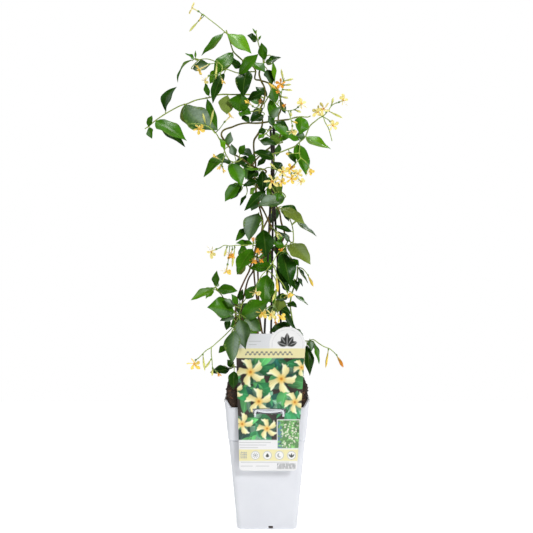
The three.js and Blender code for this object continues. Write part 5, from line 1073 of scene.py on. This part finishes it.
def makePot():
    # One skin of rings: up the outer wall with its collar, over the rounded rim and down the inner wall.
    form, part = potForm, newPart()
    rings = [levelRing(potHalf(z) + out, form["corner"] + min(out, 0), z, form) for z, out in form["outside"]]
    flat = levelRing(form["rimHalf"], form["corner"], 0, form)[:, :2]
    for down, out in form["rim"]:
        z = rimHeight(flat) - down
        rings.append(np.column_stack([flat * ((potHalf(z) + out) / form["rimHalf"])[:, None], z]))
    rings += [levelRing(potHalf(z) + out, form["innerCorner"], z, form) for z, out in form["inside"]]
    addSkin(part, np.array(rings), (0, 0, 0), (0, 0, form["wall"]), form["tone"], 0)
    cutNotches(putPiece("pot_shell", part, ["potPlastic"], "pot", form["sharp"]))


tabForm = {
    "left": -17, "right": 23, "front": -62.75, "back": -61.35, "bottom": 157.1, "top": 165.3, "bend": 3.0,
    "inset": 1.2, "half": 1.35, "sag": 2.2, "bendSteps": 6, "bandSteps": 16, "sides": 12,
    "neckLow": 165.2, "neckHigh": 166.6, "neckHeight": 167.5, "neckSunk": 0.8, "neckOut": 0.6,
}


def makeTab():
    # A bent strap, two short legs and a band between them that sags as sin(pi t), and the neck that joins it
    # to the wall. The strap's section is a rounded box, sign(cos a) |cos a|^0.5 by the same of sin a.
    form, part = tabForm, newPart()
    left, right, top, r = form["left"], form["right"], form["top"], form["bend"]
    outerLeft, outerRight = left + form["inset"], right - form["inset"]
    a = np.linspace(0, np.pi / 2, form["bendSteps"])
    t = np.linspace(0, 1, form["bandSteps"])[1:-1]
    band = np.column_stack([left + r + (right - left - 2 * r) * t, top - form["sag"] * np.sin(np.pi * t)])
    flat = np.vstack([
        [[outerLeft, form["bottom"]], [outerLeft, top - r - 1]],
        np.column_stack([outerLeft + r - r * np.cos(a), top - r + r * np.sin(a)])[1:], band,
        np.column_stack([outerRight - r + r * np.sin(a), top - r + r * np.cos(a)])[:-1],
        [[outerRight, top - r - 1], [outerRight, form["bottom"]]]])
    path = np.insert(flat, 1, (form["front"] + form["back"]) / 2, axis=1)
    outward = np.cross(unit(np.gradient(path, axis=0)), frontward)
    turn = around(form["sides"])
    wide, deep = (np.sign(c) * np.abs(c) ** 0.5 for c in (np.cos(turn), np.sin(turn)))
    rings = (path[:, None] + outward[:, None] * (wide * form["half"])[:, None]
             + frontward * (deep * (form["back"] - form["front"]) / 2)[:, None])
    addSkin(part, rings, path[0], path[-1], potForm["tone"], 0)
    x0, x1, z0, z1 = left + r, right - r, form["neckLow"], form["neckHigh"]
    ends = (form["back"] - form["neckOut"], form["neckSunk"] - potHalf(form["neckHeight"]))
    rings = np.array([[(x1, y, z0), (x0, y, z0), (x0, y, z1), (x1, y, z1)] for y in ends])
    addSkin(part, rings, rings[0].mean(axis=0), rings[1].mean(axis=0), potForm["tone"], 0)
    putPiece("pot_tab", part, ["potPlastic"], "pot", 50)


makePot()
makeTab()
print("pot made")

# Each of the soil's levels is (height, half width or None for the pot's inside, corner).
soilForm = {
    "floor": 2.1, "gap": 2.0, "cornerSteps": 6, "sideSteps": 20,
    "levels": [(2.1, None, 7), (60, None, 7), (172, None, 7), (179, 54.2, 8), (190, 55.2, 9), (198, 52.6, 11),
               (203, 47, 13)],
    "hidden": [2.1, 40, 80, 120, 150, 165], "shown": (171, 203, 26),
    "dome": 3, "domeRings": [0.93, 0.84, 0.74, 0.62, 0.5, 0.38, 0.25, 0.13],
    "lumpWaves": [(16, 0.25), (7, 0.175), (3.4, 0.15)], "lumpHeight": 1.1, "lumpSunk": 0.4, "lumpFrom": 172,
    "lumpOver": 8, "turnFrom": 200, "turnOver": 4, "shade": 0.35, "seed": 500, "tone": linear(0x3a2417),
}
crumbForm = {"count": 220, "firstRow": 8, "sides": 6, "heights": [-0.75, -0.25, 0.3, 0.8], "size": (0.5, 1.5),
             "jitter": 0.25, "tones": (0.6, 2.2)}
hairForm = {"count": 90, "steps": 9, "rows": (8, 26), "drift": 1.2, "climb": (-0.9, 1.1), "proud": 0.7,
            "rough": 0.25, "taper": (0.28, 0.12), "sides": 4, "tones": (0.5, 1.4), "tone": linear(0x8a5b3a)}


def lumps(points, draw):
    # A sum of sines in random directions, five for each wavelength, each finer set weaker.
    total = np.zeros(points.shape[:-1])
    for wave, weight in soilForm["lumpWaves"]:
        for _ in range(5):
            way = unit(draw.normal(0, 1, 3)) * 2 * np.pi / wave
            total = total + weight * np.sin(points @ way + draw.uniform(0, 2 * np.pi))
    return total


def addCrumbs(part, rings, draw):
    # Small uneven balls half sunk in the surface above the rim: rings of radius sqrt(1 - height^2).
    form, count = crumbForm, crumbForm["count"]
    rows = draw.integers(form["firstRow"], len(rings) - 1, count)
    centre = rings[rows, draw.integers(0, rings.shape[1], count)]
    size = draw.uniform(*form["size"], (count, 1))
    rise = np.array(form["heights"])[:, None, None]
    ball = np.sqrt(1 - rise**2) * swing(*np.eye(3)[:2], around(form["sides"])) + rise * skyward
    jitter = 1 + draw.uniform(-form["jitter"], form["jitter"], (count, *ball.shape[:2], 1))
    skins = centre[:, None, None] + ball * size[..., None, None] * jitter
    tone = soilForm["tone"] * draw.uniform(*form["tones"], (count, 1))
    addSkins(part, skins, centre - skyward * size, centre + skyward * size, tone, 0)


def addHairs(part, rings, draw):
    # Root hairs that wander over the side of the root ball in whole steps of its rings, just proud of it.
    form = hairForm
    shape = (form["count"], form["steps"])
    start = draw.integers(0, rings.shape[1], shape[0])[:, None]
    level = draw.integers(*form["rows"], shape[0])[:, None]
    drift = np.cumsum(draw.uniform(-form["drift"], form["drift"], shape), axis=1).astype(int)
    climb = np.cumsum(draw.uniform(*form["climb"], shape), axis=1).astype(int)
    paths = rings[np.clip(level + climb, 7, len(rings) - 3), (start + drift) % rings.shape[1]]
    outward = unit(paths * (1, 1, 0))
    paths = paths + outward * draw.uniform(0, form["proud"], (*shape, 1))
    paths = paths + draw.normal(0, form["rough"], paths.shape)
    radii = np.linspace(*form["taper"], shape[1]) * draw.uniform(0.7, 1.3, (shape[0], 1))
    tone = form["tone"] * draw.uniform(*form["tones"], (shape[0], 1))
    addSkins(part, ringsAlong(paths, radii, form["sides"]), paths[:, 0], paths[:, -1], tone, 1)


def makeSoil():
    # Rings read from the levels between the floor and the root ball's shoulder, then a low dome, 3 (1 - r^2);
    # what shows above the pot is moved in and out by the lumps, along the outward way or upwards on the dome.
    form, part, draw = soilForm, newPart(), np.random.default_rng(soilForm["seed"])
    level, half, corner = zip(*form["levels"])
    half = [wide or potHalf(z) - form["gap"] for z, wide in zip(level, half)]
    heights = np.concatenate([form["hidden"], np.linspace(*form["shown"])])
    rings = [levelRing(np.interp(z, level, half), np.interp(z, level, corner), z, form) for z in heights]
    for inward in form["domeRings"]:
        rings.append(rings[len(heights) - 1] * (inward, inward, 1) + skyward * form["dome"] * (1 - inward**2))
    rings = np.array(rings)
    lump = lumps(rings, draw)[..., None]
    shown, upward = (np.clip((rings[..., 2:] - low) / over, 0, 1) for low, over in
                     ((form["lumpFrom"], form["lumpOver"]), (form["turnFrom"], form["turnOver"])))
    outward = unit(rings * (1, 1, 0) + skyward * 1e-3)
    way = unit(mixed(outward, skyward, upward))
    rings = rings + way * (lump - form["lumpSunk"]) * form["lumpHeight"] * shown
    top = form["shown"][1] + form["dome"]
    # The tone is lighter where the lumps stand out and darker in the hollows between them, a painted shade.
    addSkin(part, rings, (0, 0, form["floor"]), (0, 0, top), form["tone"] * (1 + form["shade"] * lump), 0)
    addCrumbs(part, rings, draw)
    addHairs(part, rings, draw)
    putPiece("soil_peat", part, ["peat", "rootHair"], "soil", 180)


makeSoil()
print("soil made")

# The left and right edges are (top x, foot x), and the slot is (left, right, low, high).
labelForm = {
    "front": -61, "thickness": 0.8, "bottom": 85, "top": 267, "foot": 5, "left": (-41.7, -36.8),
    "right": (51.2, 40), "badgeRadius": 24, "badgeCentre": (27.2, 252), "slot": (-19, 25, 160.5, 167.5),
    "slotRows": 9, "columns": 136, "cell": 0.68, "edgeColumns": 0.2,
}
# Boxes are (middle x, middle z, half width, half height), bands are (middle z, half height), rules are
# (middle x, middle z, length), and flowers are (x, z, radius, spin in degrees).
labelArt = {
    "white": (0.8, 0.8, 0.81), "yellow": (0.8, 0.74, 0.4), "night": (0.03, 0.018, 0.014),
    "ink": (0.05, 0.06, 0.05), "line": (0.35, 0.36, 0.37), "rule": (0.45, 0.46, 0.47),
    "disc": (0.84, 0.84, 0.82), "grey": (0.72, 0.735, 0.76), "greyBelow": 247.4, "upperBand": (241.05, 6.35),
    "picture": (180.25, 54.45), "lowerBand": (105.6, 7.6),
    "badge": {"face": (0.84, 0.84, 0.84), "ring": 20.5, "ringTone": (0.6, 0.6, 0.6), "foot": (-0.5, -1),
              "leaves": [(20, 14, 7), (56, 14.5, 7.5), (124, 14.5, 7.5), (160, 14, 7), (90, 17, 7)],
              "leaf": (0.02, 0.022, 0.02), "leafRib": (0.5, 0.5, 0.5)},
    "garland": (-27, 34, 3.1), "garlandLevel": 241, "garlandLeaf": (3.3, 2.0),
    "rules": [(-16, 257, 16), (-19, 252.5, 10), (-16, 122.6, 42), (-19, 119.2, 36), (-24, 115.8, 24),
              (-3, 96.2, 64), (-27, 91, 16), (-6, 91, 18)],
    "flowers": [(-43, 192, 12, 10), (46, 222, 12, 35), (-22, 216, 19, 20), (19, 207, 20, 52),
                (-11, 177, 18, 4), (37, 176, 15, 30), (-33, 147, 15, 60), (0, 141, 14, 15)],
    "petal": (0.93, 0.84, 0.4), "petalPale": (0.9, 0.88, 0.7), "throat": (0.84, 0.5, 0.06),
    "eye": (0.55, 0.2, 0.02),
    "leafPlaces": ((-58, 112), (58, 232)), "leafSets": [(46, (28, 46), (13, 20)), (60, (12, 22), (4, 9))],
    "greens": [(0.04, 0.34, 0.13), (0.1, 0.46, 0.13), (0.01, 0.14, 0.1), (0.02, 0.24, 0.07),
               (0.24, 0.52, 0.33)],
    "inset": (28.5, 133.5, 14.4, 18.6), "insetFrame": 1, "insetPaper": (0.8, 0.8, 0.78),
    "insetGreen": (0.1, 0.26, 0.08), "insetShade": (0.1, 0.22, 0.3), "insetLeaves": 90,
    "insetLeaf": (0.14, 0.36, 0.1), "insetBlooms": 70, "insetBloom": (0.8, 0.82, 0.66),
    "icons": (-15.5, 0.5, 16.5, 32.5), "iconLevel": 105.4, "iconRadius": 5.9,
    "grid": (-31, 105.6, 4.4, 5.0), "bars": (25.5, 91, 12.5, 3.8), "barTone": (0.3, 0.31, 0.32), "seed": 611,
}


def labelTop(x):
    # The straight top left of the badge's middle, or the badge's circle where that is higher.
    across, radius = x - labelForm["badgeCentre"][0], labelForm["badgeRadius"]
    circle = labelForm["badgeCentre"][1] + np.sqrt(np.maximum(radius**2 - across**2, 0))
    circle = np.where(np.abs(across) <= radius + 0.01, circle, 0)
    return np.maximum(circle, np.where(across <= 0, labelForm["top"], 0))


def labelGrid():
    # Columns run from the foot curve to the top curve, x = foot x + (top x - foot x) * rise, closer together
    # at the edges; the columns and rows beside the slot are moved to lie exactly on its edges.
    form = labelForm
    slotLeft, slotRight, slotLow, slotHigh = form["slot"]
    even = np.linspace(0, 1, form["columns"] + 1)
    u = mixed(even, 0.5 - 0.5 * np.cos(np.pi * even), form["edgeColumns"])
    rise = ((slotLow + slotHigh) / 2 - form["bottom"]) / (form["top"] - form["bottom"])
    left, right = (mixed(foot, top, rise) for top, foot in (form["left"], form["right"]))
    cuts = []
    for x in (slotLeft, slotRight):
        exact = (x - left) / (right - left)
        cuts.append(int(np.argmin(np.abs(u - exact))))
        u[cuts[-1]] = exact
    topX, footX = (mixed(leftX, rightX, u) for leftX, rightX in zip(form["left"], form["right"]))
    r = form["foot"]
    inward = r - np.minimum(np.minimum(footX - footX[0], footX[-1] - footX), r)
    footZ = form["bottom"] + r - np.sqrt(r**2 - inward**2)
    topZ = labelTop(topX)
    low = int((slotLow - form["bottom"]) / form["cell"])
    high = int((form["top"] - slotHigh) / form["cell"])
    spans = ((footZ, slotLow, low), (slotLow, slotHigh, form["slotRows"]), (slotHigh, topZ, high))
    shares = [np.arange(count)[:, None] / count for _, _, count in spans]
    rows = [(a + (b - a) * share) * np.ones_like(u) for (a, b, _), share in zip(spans, shares)]
    z = np.vstack(rows + [topZ])
    x = footX + (topX - footX) * (z - footZ) / np.maximum(topZ - footZ, 1)
    return x, z, cuts, (low, low + form["slotRows"])


def paint(colour, mask, tint):
    # colour * (1 - mask) + tint * mask
    return mixed(colour, np.asarray(tint), mask[..., None])


def soft(distance, blur=0.5):
    # 1 inside, 0 outside, over a narrow edge.
    return np.clip(0.5 - distance / blur, 0, 1)


def fromBand(z, band):
    # The distance outside a band: |z - middle z| - half height.
    return np.abs(z - band[0]) - band[1]


def fromBox(x, z, box):
    # The distance outside a box: the larger of |x - middle x| - half width and |z - middle z| - half height.
    return np.maximum(np.abs(x - box[0]) - box[2], np.abs(z - box[1]) - box[3])


def paintLeaf(colour, x, z, place, length, width, turn, tint, rib):
    # Inside where |q| < width / 2 * sin(pi t)^0.8, with p along the leaf's own line, q off it and t = p /
    # length; one half is darker than the other, and a rib runs down the middle.
    c, s = math.cos(math.radians(turn)), math.sin(math.radians(turn))
    dx, dz = x - place[0], z - place[1]
    p, q = dx * c + dz * s, dz * c - dx * s
    t = np.clip(p / length, 0, 1)
    edge = np.where((p < 0) | (p > length), 9, np.abs(q) - width / 2 * np.sin(np.pi * t) ** 0.8)
    mask = soft(edge)
    shade = (1 - 0.35 * np.clip(q / width * 2, -1, 1)) * (0.75 + 0.5 * t)
    colour = paint(colour, mask, np.asarray(tint) * shade[..., None])
    return paint(colour, mask * soft(np.abs(q) - 0.35, 0.8), rib)


def paintFlower(colour, x, z, place, radius, spin):
    # Five petals in a pinwheel. A petal's centre line turns with far / radius; its half width is
    # radius * (0.07 + 0.24 * far / radius), and its end is cut aslant. One side of it is shaded, its edge is
    # ruffled by a sine along it, and fine ribs run out to its end.
    petalTone, paleTone = np.array(labelArt["petal"]), np.array(labelArt["petalPale"])
    dx, dz = x - place[0], z - place[1]
    far = np.hypot(dx, dz)
    near = np.clip(far / radius, 0, 1)
    colour = colour * (1 - 0.55 * soft(far - radius * 0.95, radius * 0.5))[..., None]
    for petal in range(5):
        middle = math.radians(spin + 72 * petal) + 0.3 * near
        turn = (np.arctan2(dz, dx) - middle + np.pi) % (2 * np.pi) - np.pi
        q = far * np.sin(np.clip(turn, -1.4, 1.4))
        half = radius * (0.07 + 0.24 * near) * (1 + 0.08 * np.sin(13 * near + 2 * petal))
        end = radius * (0.93 + 0.1 * q / half + 0.03 * np.sin(7 * q / half + petal))
        mask = soft(np.abs(q) - half, 0.9) * soft(far - end, 0.9) * (np.abs(turn) < 1.4)
        side = np.clip(q / half, -1, 1) * near
        shade = 0.8 + 0.28 * side + 0.17 * near + 0.08 * near * np.sin(12 * q / half)
        shade = shade + 0.07 * math.sin(2.4 * petal)
        pale = mixed(petalTone, paleTone, (np.clip(side, 0, 1) * 0.8)[..., None])
        colour = paint(colour, mask, np.minimum(pale * shade[..., None], 0.9))
    colour = paint(colour, soft(far - radius * 0.24, radius * 0.3), labelArt["throat"])
    return paint(colour, soft(far - radius * 0.09, 0.9), labelArt["eye"])


def drawIcons(colour, x, z):
    # Four round marks on the lower band: a sun, a drop, a half moon and a sprig.
    level, radius, line, ink = (labelArt[key] for key in ("iconLevel", "iconRadius", "line", "ink"))
    for middle in labelArt["icons"]:
        far = np.hypot(x - middle, z - level)
        colour = paint(colour, soft(far - radius), labelArt["disc"])
        colour = paint(colour, soft(np.abs(far - radius + 0.5) - 0.3), line)
    sun, drop, moon, sprig = labelArt["icons"]
    dz = z - level
    far = np.hypot(x - sun, dz)
    rays = np.abs(np.sin(4 * np.arctan2(dz, x - sun))) > 0.7
    colour = paint(colour, soft(far - 1.5), line)
    colour = paint(colour, soft(np.abs(far - 2.9) - 0.7) * rays, line)
    colour = paint(colour, soft(np.hypot((x - drop) * (1 + 0.35 * np.clip(dz + 1, 0, 3)), dz) - 2.6), ink)
    bite = soft(np.hypot(x - moon - 1.6, dz - 0.8) - 2.6)
    colour = paint(colour, soft(np.hypot(x - moon, dz) - 3) * (1 - bite), line)
    for turn in (50, 90, 130):
        colour = paintLeaf(colour, x, z, (sprig, level - 3), 6, 2, turn, ink, ink)
    return colour


def drawHeader(colour, x, z):
    # The round badge with its five leaves, then the yellow band with a garland along it.
    art, badge, (cx, cz) = labelArt, labelArt["badge"], labelForm["badgeCentre"]
    colour = paint(colour, soft(art["greyBelow"] - z, 0.6), art["grey"])
    far = np.hypot(x - cx, z - cz)
    colour = paint(colour, soft(far - labelForm["badgeRadius"]), badge["face"])
    colour = paint(colour, soft(np.abs(far - badge["ring"]) - 0.2), badge["ringTone"])
    foot = (cx + badge["foot"][0], cz + badge["foot"][1])
    for turn, length, width in badge["leaves"]:
        colour = paintLeaf(colour, x, z, foot, length, width, turn, badge["leaf"], badge["leafRib"])
    colour = paint(colour, soft(fromBand(z, art["upperBand"])), art["yellow"])
    for index, px in enumerate(np.arange(*art["garland"])):
        for turn in (55 + 70 * (index % 2), 235 + 70 * (index % 2)):
            place = (px, art["garlandLevel"])
            colour = paintLeaf(colour, x, z, place, *art["garlandLeaf"], turn, art["ink"], art["line"])
    return colour


def drawPicture(x, z, draw):
    # Dark ground under two sets of leaves strewn by chance, large ones first, and the flowers on top.
    art = labelArt
    ground = 0.5 + 0.5 * np.sin(x * 0.21 + 2 * np.sin(z * 0.13))
    picture = np.array(art["night"]) * (0.5 + ground[..., None])
    for count, long, wide in art["leafSets"]:
        for _ in range(count):
            place = draw.uniform(*art["leafPlaces"])
            tint = np.array(art["greens"][draw.integers(len(art["greens"]))]) * draw.uniform(0.35, 1.25)
            picture = paintLeaf(picture, x, z, place, draw.uniform(*long), draw.uniform(*wide),
                                draw.uniform(0, 360), tint, tint * 1.5 + 0.03)
    for px, pz, radius, spin in art["flowers"]:
        picture = paintFlower(picture, x, z, (px, pz), radius, spin)
    return picture


def drawInset(x, z, draw):
    # Small greenery strewn with pale blooms, bluer at its left edge.
    art = labelArt
    green = paint(np.full((*x.shape, 3), art["insetGreen"]), soft(x - 19.5, 3), art["insetShade"])
    for _ in range(art["insetLeaves"]):
        place = draw.uniform((17, 112), (44, 152))
        tint = np.array(art["insetLeaf"]) * draw.uniform(0.3, 1.7)
        size, turn = (draw.uniform(4, 8), draw.uniform(1.6, 3.2)), draw.uniform(0, 360)
        green = paintLeaf(green, x, z, place, *size, turn, tint, tint)
    for _ in range(art["insetBlooms"]):
        px, pz = draw.uniform((19, 116), (43, 150))
        green = paint(green, soft(np.hypot(x - px, z - pz) - draw.uniform(0.5, 1.1), 0.8), art["insetBloom"])
    return green


def drawPrint(x, z):
    # From the top down: a pale header with the round badge, a yellow band, the picture, a white strip beside
    # a small inset of greenery, a second yellow band with round marks, and a pale foot.
    art, draw = labelArt, np.random.default_rng(labelArt["seed"])
    colour = drawHeader(np.full((*x.shape, 3), art["white"]), x, z)
    for px, pz, long in art["rules"]:
        colour = paint(colour, soft(fromBox(x, z, (px, pz, long / 2, 0.35)), 0.4), art["rule"])
    colour = paint(colour, soft(fromBand(z, art["picture"])), drawPicture(x, z, draw))
    colour = paint(colour, soft(fromBand(z, art["lowerBand"])), art["yellow"])
    inset = fromBox(x, z, art["inset"])
    colour = paint(colour, soft(inset - art["insetFrame"]), art["insetPaper"])
    colour = paint(colour, soft(inset), drawInset(x, z, draw))
    gridX, gridZ = art["grid"][:2]
    cell = (np.abs((x - gridX) % 2.2 - 1.1) < 0.75) & (np.abs((z - gridZ) % 2.2 - 1.1) < 0.75)
    colour = paint(colour, soft(fromBox(x, z, art["grid"])) * cell, art["line"])
    colour = drawIcons(colour, x, z)
    return paint(colour, soft(fromBox(x, z, art["bars"])) * (np.abs(x % 1.9 - 0.95) < 0.6), art["barTone"])


def makeLabel():
    # One flat grid of quads without those in the slot, its print in the tone of each point, made thick to the
    # back by Solidify.
    x, z, (left, right), (low, high) = labelGrid()
    at = np.arange(x.size).reshape(x.shape)
    quads = np.stack([at[:-1, :-1], at[:-1, 1:], at[1:, 1:], at[1:, :-1]], -1)
    keep = np.ones(quads.shape[:2], bool)
    keep[low:high, left:right] = False
    used, quads = np.unique(quads[keep], return_inverse=True)
    quads = quads.reshape(-1, 4)
    part = newPart()
    part["points"].append(np.stack([x, np.full_like(x, labelForm["front"]), z], -1).reshape(-1, 3)[used])
    part["quads"].append(quads)
    part["quadFinish"].append(np.zeros(len(quads), int))
    part["uv"].append(np.stack([x, z], -1).reshape(-1, 2)[used] / 200)
    part["tone"].append(drawPrint(x, z).reshape(-1, 3)[used])
    label = putPiece("label_card", part, ["labelPrint", "labelBack"], "label", 180)
    thick = label.modifiers.new("thickness", "SOLIDIFY")
    thick.thickness = labelForm["thickness"] * mm
    thick.offset = -1
    thick.use_even_offset = False
    thick.material_offset = 1
    thick.material_offset_rim = 1


makeLabel()
print("label made")

# Each light is (name, place, size, power), and all of them look at the middle of the plant.
studio = {
    "backdrop": 1.0, "ambient": 0.1, "aim": (0, 0, 0.33), "floorHalf": 1.05, "floorGlow": 0.6,
    "floorNoise": (3, 2), "floorTones": ((0.891, 0.891, 0.891, 1), (0.9, 0.9, 0.9, 1)),
    "lights": [("keyLight", (1.05, -1.55, 1.25), 0.5, 24), ("fillLight", (-1.7, -1.0, 1.0), 0.5, 5.5),
               ("topLight", (-0.2, 0.1, 2.1), 0.6, 20), ("backLight", (0.5, 1.6, 1.3), 0.8, 13)],
}


def floorFinish():
    # A pale sweep: faintly mottled white that glows a little, so that it stays pale far from the lights.
    glow = {"Roughness": 0.8, "Emission Color": (1, 1, 1, 1), "Emission Strength": studio["floorGlow"]}
    material, tree, shader = newFinish("paleFloor", glow)
    colour = mixColour(tree, objectNoise(tree, *studio["floorNoise"]), *studio["floorTones"])
    tree.links.new(colour, shader.inputs["Base Color"])
    return material


half = studio["floorHalf"]
corners = [(-half, -half, 0), (half, -half, 0), (half, half, 0), (-half, half, 0)]
floorMesh = bpy.data.meshes.new("floor")
floorMesh.from_pydata(corners, [], [(0, 1, 2, 3)])
floorMesh.materials.append(floorFinish())
floor = putObject("floor", floorMesh)

# The backdrop is white, and the room lights the object less than a white room would.
world = bpy.data.worlds.new("studio")
bpy.context.scene.world = world
world.use_nodes = True
background = world.node_tree.nodes["Background"]
seen = addNode(world.node_tree, "ShaderNodeLightPath").outputs["Is Camera Ray"]
strength = mapRange(world.node_tree, seen, 0.0, 1.0, studio["ambient"], studio["backdrop"])
world.node_tree.links.new(strength, background.inputs["Strength"])
background.inputs["Color"].default_value = (1, 1, 1, 1)
for name, place, size, power in studio["lights"]:
    light = putObject(name, bpy.data.lights.new(name, "AREA"))
    light.data.size = size
    light.data.energy = power
    light.location = place
    ax, ay, az = np.array(studio["aim"]) - place
    light.rotation_euler = (math.atan2(math.hypot(ax, ay), -az), 0, math.atan2(ay, ax) - math.pi / 2)
print("studio set")
